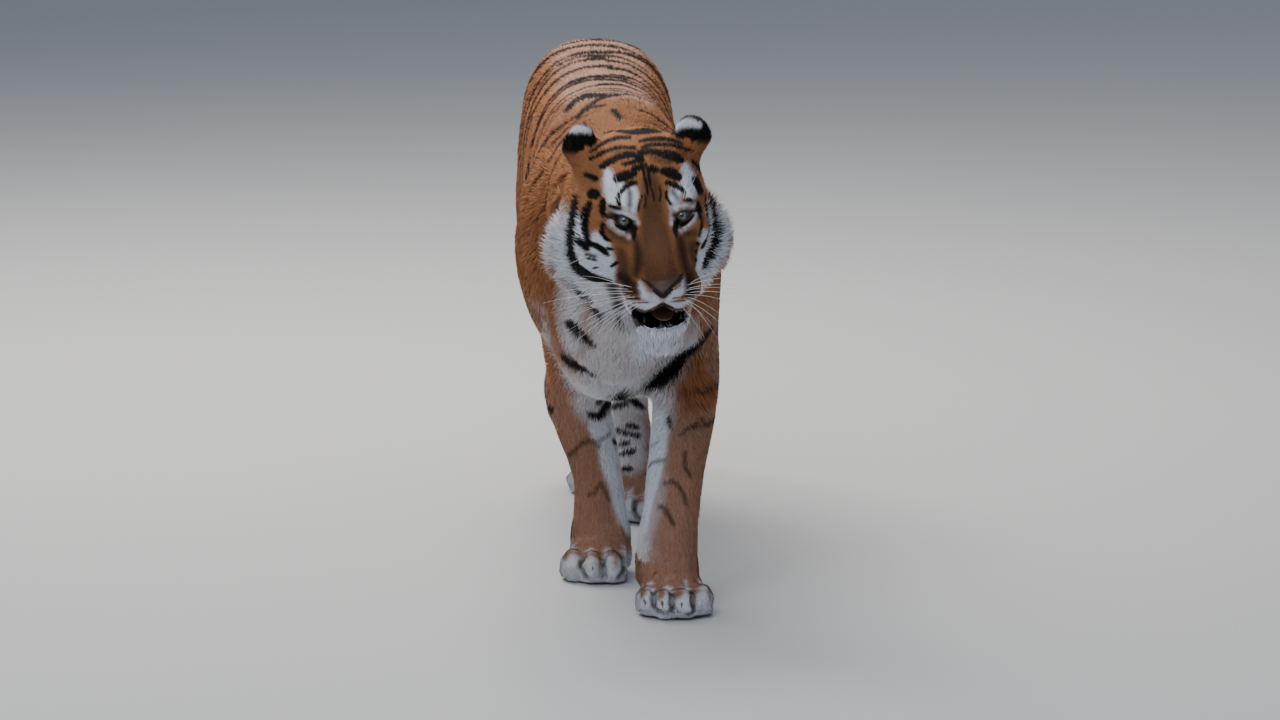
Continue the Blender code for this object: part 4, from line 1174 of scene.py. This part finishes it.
set_fields(hide.data, {"ink": ink, "pale": pale, "deep": deep, "bare": bare})
hide.data.materials.clear()
hide.data.materials.append(hide_paint.material)
hide.data.shade_smooth()


# ---------------------------------------------------------------- the coat
# Locks of hair rooted in the hide, each a thin pointed blade that leaves the skin steeply and
# then lies along the body. They are finest and shortest on the face and feet, longest on the ruff.

TUFT_COVER = 2.1                   # layers of hair over every point
RUFF_COVER, FACE_COVER = 3.6, 0.6  # and how much more, as shares, where hair is long or very short
LOCK_FILL = 0.55                   # the share of length times width that a tapered lock covers
SHORTEST_HAIR, LEAST_HAIR = 0.0025, 0.004
LONG_HAIR = 0.028                  # above this a lock has an extra joint
SHORT_SHARES, LONG_SHARES = (0.36, 0.64), (0.28, 0.37, 0.35)  # of its length, joint to joint
ROOT_RISE, TIP_RISE = math.radians(36), math.radians(7)
ROOT_SUNK = 0.0008
MOST_IN_PIECE = 195000
SOLE_HEIGHT = 0.012
PATCH = 0.003                      # the patch of the unwrap that one lock has
BOX_SPARE = 0.0003
inner_low, inner_high = np.array(cad_box[0]) + BOX_SPARE, np.array(cad_box[1]) - BOX_SPARE

corner = [skin[triangles[:, k]] for k in range(3)]
area = np.linalg.norm(np.cross(corner[1] - corner[0], corner[2] - corner[0]), axis=1) / 2
triangle_hair = hair[triangles].mean(axis=1)
triangle_bare = bare[triangles].mean(axis=1)


def lock_width(length):
    """How wide a lock of this length is: the short ones and the ruff's long ones are finer."""
    return np.clip(0.0006 + 0.048 * length, 0.0, 0.0019) - 0.0006 * ramp(length, 0.028, 0.045)


cover = TUFT_COVER * (1 + RUFF_COVER * ramp(triangle_hair, 0.022, 0.045)
                      + FACE_COVER * fade(triangle_hair, 0.006, 0.010))
lock_length = triangle_hair.clip(LEAST_HAIR)
density = cover / (LOCK_FILL * lock_length * lock_width(lock_length))
density *= (triangle_hair > SHORTEST_HAIR) & (triangle_bare < 0.5)
low_down = outer[triangles].mean(axis=1)[:, 2] < SOLE_HEIGHT
density *= ~(low_down & (skinward[triangles].mean(axis=1)[:, 2] < -0.5))

# The pieces of the coat, each with the axis that its unwrap turns about.
vertical, lengthways = np.array([0, 0, 1.0]), np.array([0, 1.0, 0])
fore_and_aft = np.array(forward_axis)
PIECES = {}
zone = np.full(count, -1)


def coat_zone(name, where, axis, slot="orange_coat"):
    zone[where] = len(PIECES)
    PIECES[name] = (axis, slot)


coat_zone("coat_trunk_left", belongs("trunk") & (outer[:, 0] >= 0), lengthways)
coat_zone("coat_trunk_right", belongs("trunk") & (outer[:, 0] < 0), lengthways)
coat_zone("coat_chest", belongs("trunk") & (outer[:, 1] < -0.50), lengthways)
coat_zone("coat_rump", belongs("rump"), lengthways)
coat_zone("coat_neck", belongs("neck"), lengthways)
coat_zone("coat_crown", of_head, fore_and_aft)
coat_zone("coat_ruff_left", of_head & (cheek > 0.05) & (side > 0), fore_and_aft)
coat_zone("coat_ruff_right", of_head & (cheek > 0.05) & (side <= 0), fore_and_aft)
coat_zone("coat_face", (of_head & (face_front > 0.5)) | belongs("nose_pad"), fore_and_aft)
coat_zone("coat_chin", of_jaw, fore_and_aft, "pale_coat")
for limb, nodes in (("foreleg", ("upper_arm_fore_", "forearm_fore_", "paw_fore_")),
                    ("hindleg", ("thigh_hind_", "shank_hind_", "paw_hind_"))):
    for which in ("left", "right"):
        coat_zone("coat_{}_{}".format(limb, which),
                  belongs(*(node + which for node in nodes)), vertical)
coat_zone("coat_tail", of_tail, vertical)
coat_zone("coat_ears", belongs("ear"), vertical, "black_coat")

HAIR_SHADE, HAIR_TIP = (0.04, 0.028, 0.02), (0.60, 0.40, 0.26)
coat_paint = Paint("coat", Roughness=0.72)
coat_paint.shader.inputs["Specular IOR Level"].default_value = 0.06
tint = coat_paint.attribute("tint")
outward_part = coat_paint.attribute("outward_part")
shown_colour = coat_colour(coat_paint)
paleness = coat_paint.attribute("pale")
shown_colour = coat_paint.mix(tint * (0.35 - paleness * 0.20), shown_colour, HAIR_SHADE)
# Each lock is lighter towards its tip: partly the paler tips of the hair, partly painted shade down
# among the roots.
tip_paling_and_root_shade = outward_part * 0.08 * (1.0 - coat_paint.attribute("deep"))
shown_colour = coat_paint.mix(tip_paling_and_root_shade, shown_colour, HAIR_TIP)
coat_paint.drive("Base Color", coat_paint.mix(coat_paint.attribute("ink"), shown_colour,
                                              BLACK_HAIR))
coat_paint.drive("Roughness", 0.62 + coat_paint.noise(60.0) * 0.25)


def turned(vectors, axes, angles):
    """Vectors turned about unit axes square to them."""
    return vectors * np.cos(angles)[:, None] + np.cross(axes, vectors) * np.sin(angles)[:, None]


# Each piece's locks are rooted at random places of its part of the hide, as one mesh.
for piece_number, (piece_name, (axis, slot)) in enumerate(PIECES.items()):
    own = np.flatnonzero(zone[triangles[:, 0]] == piece_number)
    wanted = density[own] * area[own]
    total = int(wanted.sum())
    long_piece = triangle_hair[own].mean() > LONG_HAIR
    total = min(total, MOST_IN_PIECE // (4 if long_piece else 2))
    chosen = own[chance.choice(len(own), total, p=wanted / wanted.sum())]
    u, v = chance.random(total), chance.random(total)
    fold = u + v > 1
    u[fold], v[fold] = 1 - u[fold], 1 - v[fold]
    shares = np.column_stack([1 - u - v, u, v])

    def blended(values):
        """Values of the hide's points, blended where each lock is rooted."""
        picked = values[triangles[chosen]]
        return (picked * (shares[:, :, None] if picked.ndim == 3 else shares)).sum(axis=1)

    root = blended(skin)
    normal = unit(blended(outward_normals))
    length = blended(hair) * chance.uniform(0.72, 1.12, total)
    loose = 0.13 + 0.22 * ramp(length, 0.018, 0.05)
    lies = blended(lie)
    lies = unit(lies - normal * (lies * normal).sum(axis=1)[:, None])
    lies = turned(lies, normal, chance.normal(0, 1, total) * loose)
    across_lock = np.cross(normal, lies)
    across_lock = turned(across_lock, lies, chance.normal(0, 0.30, total))
    width = lock_width(length) * chance.uniform(0.7, 1.25, total)
    rise = chance.uniform(0.85, 1.1, total)

    def onward(place, share, lean):
        """The next joint, a share of the length on, at a lean off the skin."""
        step = lies * np.cos(lean * rise)[:, None] + normal * np.sin(lean * rise)[:, None]
        return place + step * (length * share)[:, None]

    half = across_lock * (width / 2)[:, None]
    start = root - normal * ROOT_SUNK
    if long_piece:
        first = onward(start, LONG_SHARES[0], ROOT_RISE)
        second = onward(first, LONG_SHARES[1], 0.6 * TIP_RISE + 0.2 * ROOT_RISE)
        point = onward(second, LONG_SHARES[2], 0.3 * TIP_RISE)
        corners = [start, first + half, first - half, second + 0.8 * half, second - 0.8 * half,
                   point]
        faces = [(0, 2, 1), (1, 2, 3), (3, 2, 4), (3, 4, 5)]
        parts = [0.0, 0.28, 0.28, 0.65, 0.65, 1.0]
        patch = [(0, 0), (0.5, 0.28), (-0.5, 0.28), (0.4, 0.65), (-0.4, 0.65), (0, 1)]
    else:
        first = onward(start, SHORT_SHARES[0], ROOT_RISE)
        point = onward(first, SHORT_SHARES[1], TIP_RISE)
        corners = [start, first + half, first - half, point]
        faces = [(0, 2, 1), (1, 2, 3)]
        parts = [0.0, 0.36, 0.36, 1.0]
        patch = [(0, 0), (0.5, 0.4), (-0.5, 0.4), (0, 1)]
    size = len(corners)
    points = np.stack(corners, axis=1).reshape(-1, 3)
    points = np.clip(points, inner_low, inner_high)
    loops = (np.array(faces)[None] + size * np.arange(total)[:, None, None]).reshape(-1)

    mesh = bpy.data.meshes.new(piece_name)
    mesh.vertices.add(len(points))
    mesh.vertices.foreach_set("co", points.ravel())
    mesh.loops.add(len(loops))
    mesh.loops.foreach_set("vertex_index", loops)
    mesh.polygons.add(len(loops) // 3)
    mesh.polygons.foreach_set("loop_start", np.arange(0, len(loops), 3))
    mesh.update(calc_edges=True)

    # The unwrap goes round the piece's axis and along it.
    first_side = np.array([1.0, 0, 0])
    second_side = unit(np.cross(axis, first_side))
    offset = root - root.mean(axis=0)
    turn = np.arctan2(offset @ first_side, offset @ second_side) / (2 * math.pi) + 0.5
    reach = offset @ axis
    reach = (reach - reach.min()) / (reach.max() - reach.min())
    place = np.column_stack([turn, reach]) * (1 - 2 * PATCH) + PATCH
    spots = place[:, None] + np.array(patch)[None] * PATCH
    unwrap = mesh.uv_layers.new(name="OFBake")
    unwrap.data.foreach_set("uv", spots.reshape(-1, 2)[loops].ravel().astype(np.float32))

    shading = unit(normal + 0.45 * across_lock * chance.normal(0, 1, total)[:, None]
                   + 0.25 * lies)
    mesh.normals_split_custom_set_from_vertices(np.repeat(shading, size, axis=0).tolist())
    fields = {"ink": blended(ink), "pale": blended(pale), "deep": blended(deep),
              "tint": chance.random(total) ** 1.5}
    fields = {name: np.repeat(values, size) for name, values in fields.items()}
    fields["outward_part"] = np.tile(parts, total)
    set_fields(mesh, fields)
    mesh.materials.append(coat_paint.material)
    coat = placed(piece_name, mesh)
    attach(coat, "root")


# ---------------------------------------------------------------- the eyes
# Glass-like balls with a pale grey-gold iris round a small round pupil, near black beyond it, under
# a clear bulging cornea, set in black rims.

IRIS_RADIUS, CORNEA_BULGE = 0.0094, 0.0016
PUPIL_EDGE, INNER_RING, IRIS_EDGE = (0.0029, 0.0036), (0.0035, 0.0062), (0.0072, 0.0094)
PUPIL, IRIS_INNER, IRIS_OUTER = (0.002, 0.002, 0.002), (0.07, 0.065, 0.045), (0.015, 0.014, 0.012)
IRIS_SPOKE, IRIS_PALE = (0.075, 0.078, 0.060), (0.17, 0.17, 0.135)
BALL_SEGMENTS, BALL_RINGS = 64, 48
BEYOND_IRIS = 0.02
eye_paint = Paint("eye", Roughness=0.06)
eye_paint.shader.inputs["Coat Weight"].default_value = 1.0
eye_paint.shader.inputs["Coat Roughness"].default_value = 0.02
from_pupil = eye_paint.attribute("from_pupil")
spokes = eye_paint.noise(900.0, 3.0)
iris_colour = eye_paint.mix(spokes.rise(0.35, 0.65), IRIS_SPOKE, IRIS_PALE)
iris_colour = eye_paint.mix(from_pupil.rise(*INNER_RING), IRIS_INNER, iris_colour)
iris_colour = eye_paint.mix(from_pupil.rise(*IRIS_EDGE), iris_colour, IRIS_OUTER)
eye_paint.drive("Base Color", eye_paint.mix(from_pupil.rise(*PUPIL_EDGE), PUPIL, iris_colour))
for which, place in eye_places.items():
    ball = bmesh.new()
    bmesh.ops.create_uvsphere(ball, u_segments=BALL_SEGMENTS, v_segments=BALL_RINGS,
                              radius=eye_radius)
    ball_mesh = bpy.data.meshes.new("eye_" + which)
    ball.to_mesh(ball_mesh)
    ball.free()
    points = read(ball_mesh.vertices, "co", 3)
    # The ball's pole faces ahead along the gaze.
    turn_to_gaze = np.array(Vector(gaze).to_track_quat("Z", "Y").to_matrix())
    from_axis = np.linalg.norm(points[:, :2], axis=1)
    ahead_of_ball = points[:, 2] > 0
    bulge = CORNEA_BULGE * fade(from_axis, 0.2 * IRIS_RADIUS, 1.15 * IRIS_RADIUS)
    points[:, 2] += bulge * ahead_of_ball
    set_fields(ball_mesh, {"from_pupil": np.where(ahead_of_ball, from_axis, BEYOND_IRIS)})
    points = points @ turn_to_gaze.T + np.array(place)
    ball_mesh.vertices.foreach_set("co", points.ravel())
    ball_mesh.shade_smooth()
    ball_mesh.materials.append(eye_paint.material)
    eye = placed("eyeball_" + which, ball_mesh)
    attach(eye, "root")
    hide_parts("eye_" + which)


def tube(name, lines, material, sides=6):
    """One mesh of tapered tubes, each along points with a radius: (n, 4) arrays."""
    vertices, faces = [], []
    for line in lines:
        base = len(vertices)
        for index, spot in enumerate(line):
            before, after = line[max(index - 1, 0)][:3], line[min(index + 1, len(line) - 1)][:3]
            heading = Vector(after - before).normalized()
            first = heading.orthogonal().normalized()
            second = heading.cross(first)
            for side_number in range(sides):
                angle = 2 * math.pi * side_number / sides
                ring = first * math.cos(angle) + second * math.sin(angle)
                vertices.append(Vector(spot[:3]) + ring * spot[3])
        for index in range(len(line) - 1):
            for side_number in range(sides):
                a = base + index * sides + side_number
                b = base + index * sides + (side_number + 1) % sides
                faces.append((a, b, b + sides, a + sides))
        faces.append(tuple(range(base + sides - 1, base - 1, -1)))
        top = base + (len(line) - 1) * sides
        faces.append(tuple(range(top, top + sides)))
    made = bpy.data.meshes.new(name)
    made.from_pydata(vertices, [], faces)
    made.shade_smooth()
    made.materials.append(material)
    piece = placed(name, made)
    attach(piece, "root")
    return piece


# The rims: a thin black bead along each lid, just clear of the ball.
RIM_DARK, RIM_PALE = (0.006, 0.005, 0.005), (0.022, 0.018, 0.017)
RIM_RADIUS, RIM_CLEAR, RIM_STEPS = 0.0012, 0.0008, 25
rim_paint = Paint("eye_rim", Roughness=0.35)
rim_paint.drive("Base Color", rim_paint.mix(rim_paint.noise(700.0), RIM_DARK, RIM_PALE))
for which, place in eye_places.items():
    lines = []
    for sign in (1, -1):
        line = []
        for outward in np.linspace(-LID_HALF_WIDTH, LID_HALF_WIDTH, RIM_STEPS):
            up_part = float(lid_line(outward, sign))
            flat_part = min(0.98, math.hypot(outward, up_part) / (eye_radius * 1000))
            scale = flat_part / max(math.hypot(outward, up_part), 1e-6)
            facing = np.array([outward * scale, up_part * scale, math.sqrt(1 - flat_part ** 2)])
            spot = np.array(place) + (facing @ eye_axes(which)) * (eye_radius + RIM_CLEAR)
            line.append((*spot, RIM_RADIUS))
        lines.append(np.array(line))
    tube("lid_rims_" + which, lines, rim_paint.material, 8)


# ---------------------------------------------------------------- tongue and teeth
# The tongue is soft wet muscle with a rough skin, between the lower teeth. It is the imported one
# made smooth. The two lower canines are ivory, curved a little back and set in the lower jaw.

TONGUE_DRAWN_BACK, TONGUE_RAISED, TONGUE_PASSES = 0.008, 0.006, 6
TONGUE_DARK, TONGUE_PALE = (0.10, 0.042, 0.026), (0.20, 0.085, 0.050)
tongue_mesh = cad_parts["tongue"].data.copy()
shape = bmesh.new()
shape.from_mesh(tongue_mesh)
bmesh.ops.remove_doubles(shape, verts=shape.verts, dist=WELD)
bmesh.ops.subdivide_edges(shape, edges=shape.edges, cuts=2, use_grid_fill=True)
for _ in range(TONGUE_PASSES):
    bmesh.ops.smooth_vert(shape, verts=shape.verts, factor=0.5, use_axis_x=True, use_axis_y=True,
                          use_axis_z=True)
for vertex in shape.verts:
    vertex.co += face_shift + Vector((0.0, TONGUE_DRAWN_BACK, TONGUE_RAISED))
shape.to_mesh(tongue_mesh)
shape.free()
tongue_paint = Paint("tongue_skin", Roughness=0.38)
papillae = tongue_paint.noise(650.0, 2.0)
tongue_paint.drive("Base Color", tongue_paint.mix(papillae, TONGUE_DARK, TONGUE_PALE))
tongue_paint.bump(papillae, 0.0008, 0.7)
tongue_mesh.shade_smooth()
tongue_mesh.materials.clear()
tongue_mesh.materials.append(tongue_paint.material)
tongue = placed("tongue_muscle", tongue_mesh)
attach(tongue, "root")
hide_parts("tongue")

IVORY_DARK, IVORY_PALE = (0.13, 0.105, 0.07), (0.22, 0.19, 0.14)
TOOTH_STEPS, TOOTH_SHOWN, TOOTH_CURVE = 9, 0.42, 0.004
TOOTH_RADIUS, TOOTH_POINT = 0.0026, 0.0003
tooth_paint = Paint("tooth", Roughness=0.25)
tooth_paint.drive("Base Color", tooth_paint.mix(tooth_paint.noise(120.0), IVORY_DARK, IVORY_PALE))
for which in ("left", "right"):
    low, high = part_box("canine_lower_" + which)
    foot = Vector(((low[0] + high[0]) / 2, (low[1] + high[1]) / 2, low[2])) + face_shift
    height = high[2] - low[2]
    line = []
    for part in np.linspace(0, 1, TOOTH_STEPS):
        spot = foot + Vector((0, TOOTH_CURVE * part * part, TOOTH_SHOWN * height * part))
        line.append((*spot, TOOTH_RADIUS * (1 - part ** 1.4) + TOOTH_POINT))
    tooth = tube("tooth_lower_" + which, [np.array(line)], tooth_paint.material, 14)
    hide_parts("canine_lower_" + which)


# ---------------------------------------------------------------- the claws
# Grey-brown horn that grows in layers, curved and pointed, one to a toe. At a walk they are drawn
# back, so only the fore part of each shows out of the fur.

HORN_DARK, HORN_PALE = (0.045, 0.038, 0.032), (0.20, 0.17, 0.14)
CLAW_STEPS, CLAW_SUNK, CLAW_ARCH, CLAW_POINT = 9, 0.004, 0.0020, 0.0006
CLAW_SHOWN, CLAW_BREADTH = 0.85, 0.92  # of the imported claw's length and thickness
claw_paint = Paint("claw_horn_layers", Roughness=0.35)
layers = claw_paint.noise(300.0, 3.0, (1.0, 0.3, 1.0))
claw_paint.drive("Base Color", claw_paint.mix(layers, HORN_DARK, HORN_PALE))
claw_paint.bump(layers, 0.0004, 0.5)
for name in sorted(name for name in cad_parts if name.startswith("claw_")):
    cloud = np.array([vertex.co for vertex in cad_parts[name].data.vertices])
    centre = cloud.mean(axis=0)
    direction = np.linalg.svd(cloud - centre, full_matrices=False)[2][0]
    direction = direction * -np.sign(direction[1] + direction[2] * 0.2)
    reach = (cloud - centre) @ direction
    away = np.linalg.norm(cloud - centre - reach[:, None] * direction, axis=1)
    thick = away.max()
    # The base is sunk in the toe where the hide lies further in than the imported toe.
    base = centre + direction * reach.min()
    seat, seat_normal = surface.find_nearest(Vector(base))[:2]
    outside_by = (Vector(base) - seat).dot(seat_normal) + CLAW_SUNK
    if outside_by > 0:
        centre = centre - np.array(seat_normal) * outside_by
    line = []
    for part in np.linspace(0, 1, CLAW_STEPS):
        spot = centre + direction * (reach.min() + CLAW_SHOWN * (reach.max() - reach.min()) * part)
        spot = spot + np.array([0.0, 0.0, CLAW_ARCH * math.sin(math.pi * part)])
        line.append((*spot, max(CLAW_POINT, thick * (1 - part ** 1.7) * CLAW_BREADTH)))
    claw = tube(name.replace("claw", "horn"), [np.array(line)], claw_paint.material,
                10)
    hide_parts(name)


# ---------------------------------------------------------------- the whiskers
# Stiff white bristles that arch and taper to a point, set in rows on the muzzle pads, with a few
# over the eyes and on the cheeks.

BRISTLE_GREY, BRISTLE_WHITE = (0.62, 0.62, 0.62), (0.85, 0.85, 0.86)
BRISTLE_RADIUS, BRISTLE_TAPER, BRISTLE_STEPS, BRISTLE_BACK = 0.00052, 0.75, 13, -0.010
whisker_paint = Paint("whisker", Roughness=0.4)
whisker_paint.drive("Base Color", whisker_paint.mix(whisker_paint.noise(40.0), BRISTLE_GREY,
                                                    BRISTLE_WHITE))


def whisker(root, tip, sag, forward):
    """A bristle from its root on the hide to its tip, both given as a stroke's points are. It
    bends by sag on the way, and its tip is ahead of the root by forward."""
    start = throw(*root)
    flat_tip = between_eyes + (front_right * tip[0] + front_up * tip[1]) * FRONT_SCALE
    end = flat_tip + gaze * ((start - flat_tip).dot(gaze) - forward)
    end.x = min(max(end.x, inner_low[0]), inner_high[0])
    bend = (start + end) / 2 + Vector((0, BRISTLE_BACK, sag))
    line = []
    for part in np.linspace(0, 1, BRISTLE_STEPS):
        spot = start * (1 - part) ** 2 + bend * 2 * part * (1 - part) + end * part * part
        line.append((*spot, BRISTLE_RADIUS * (1 - BRISTLE_TAPER * part)))
    return np.array(line)


MUZZLE_BRISTLES = [
    ((-40, -128), (-150, -122)), ((-46, -132), (-178, -138)), ((-38, -136), (-160, -150)),
    ((-50, -140), (-205, -158)), ((-42, -144), (-190, -176)), ((-34, -146), (-150, -178)),
    ((-52, -150), (-182, -196)), ((-44, -153), (-168, -216)), ((-36, -155), (-140, -214)),
    ((-28, -157), (-118, -230)), ((-48, -160), (-150, -236)), ((-38, -163), (-112, -212)),
    ((-28, -163), (-92, -222)), ((-54, -128), (-132, -108)),
    ((64, -124), (168, -112)), ((66, -130), (178, -126)), ((60, -134), (158, -134)),
    ((68, -138), (172, -146)), ((60, -142), (150, -160)), ((66, -147), (132, -186)),
    ((58, -150), (136, -206)), ((64, -153), (118, -222)), ((54, -155), (108, -196)),
    ((46, -157), (96, -224)), ((70, -120), (138, -98))]
BROW_AND_CHEEK_BRISTLES = [
    ((-62, 30), (-92, 84)), ((-58, 32), (-74, 92)), ((60, 34), (84, 88)), ((56, 36), (70, 96)),
    ((-118, -70), (-176, -96)), ((106, -60), (150, -84))]
lines = [whisker(root_place, tip_place, 0.012, chance.uniform(0.0, 0.03))
         for root_place, tip_place in MUZZLE_BRISTLES]
lines += [whisker(root_place, tip_place, 0.006, 0.02)
          for root_place, tip_place in BROW_AND_CHEEK_BRISTLES]
tube("whiskers", lines, whisker_paint.material, 5)
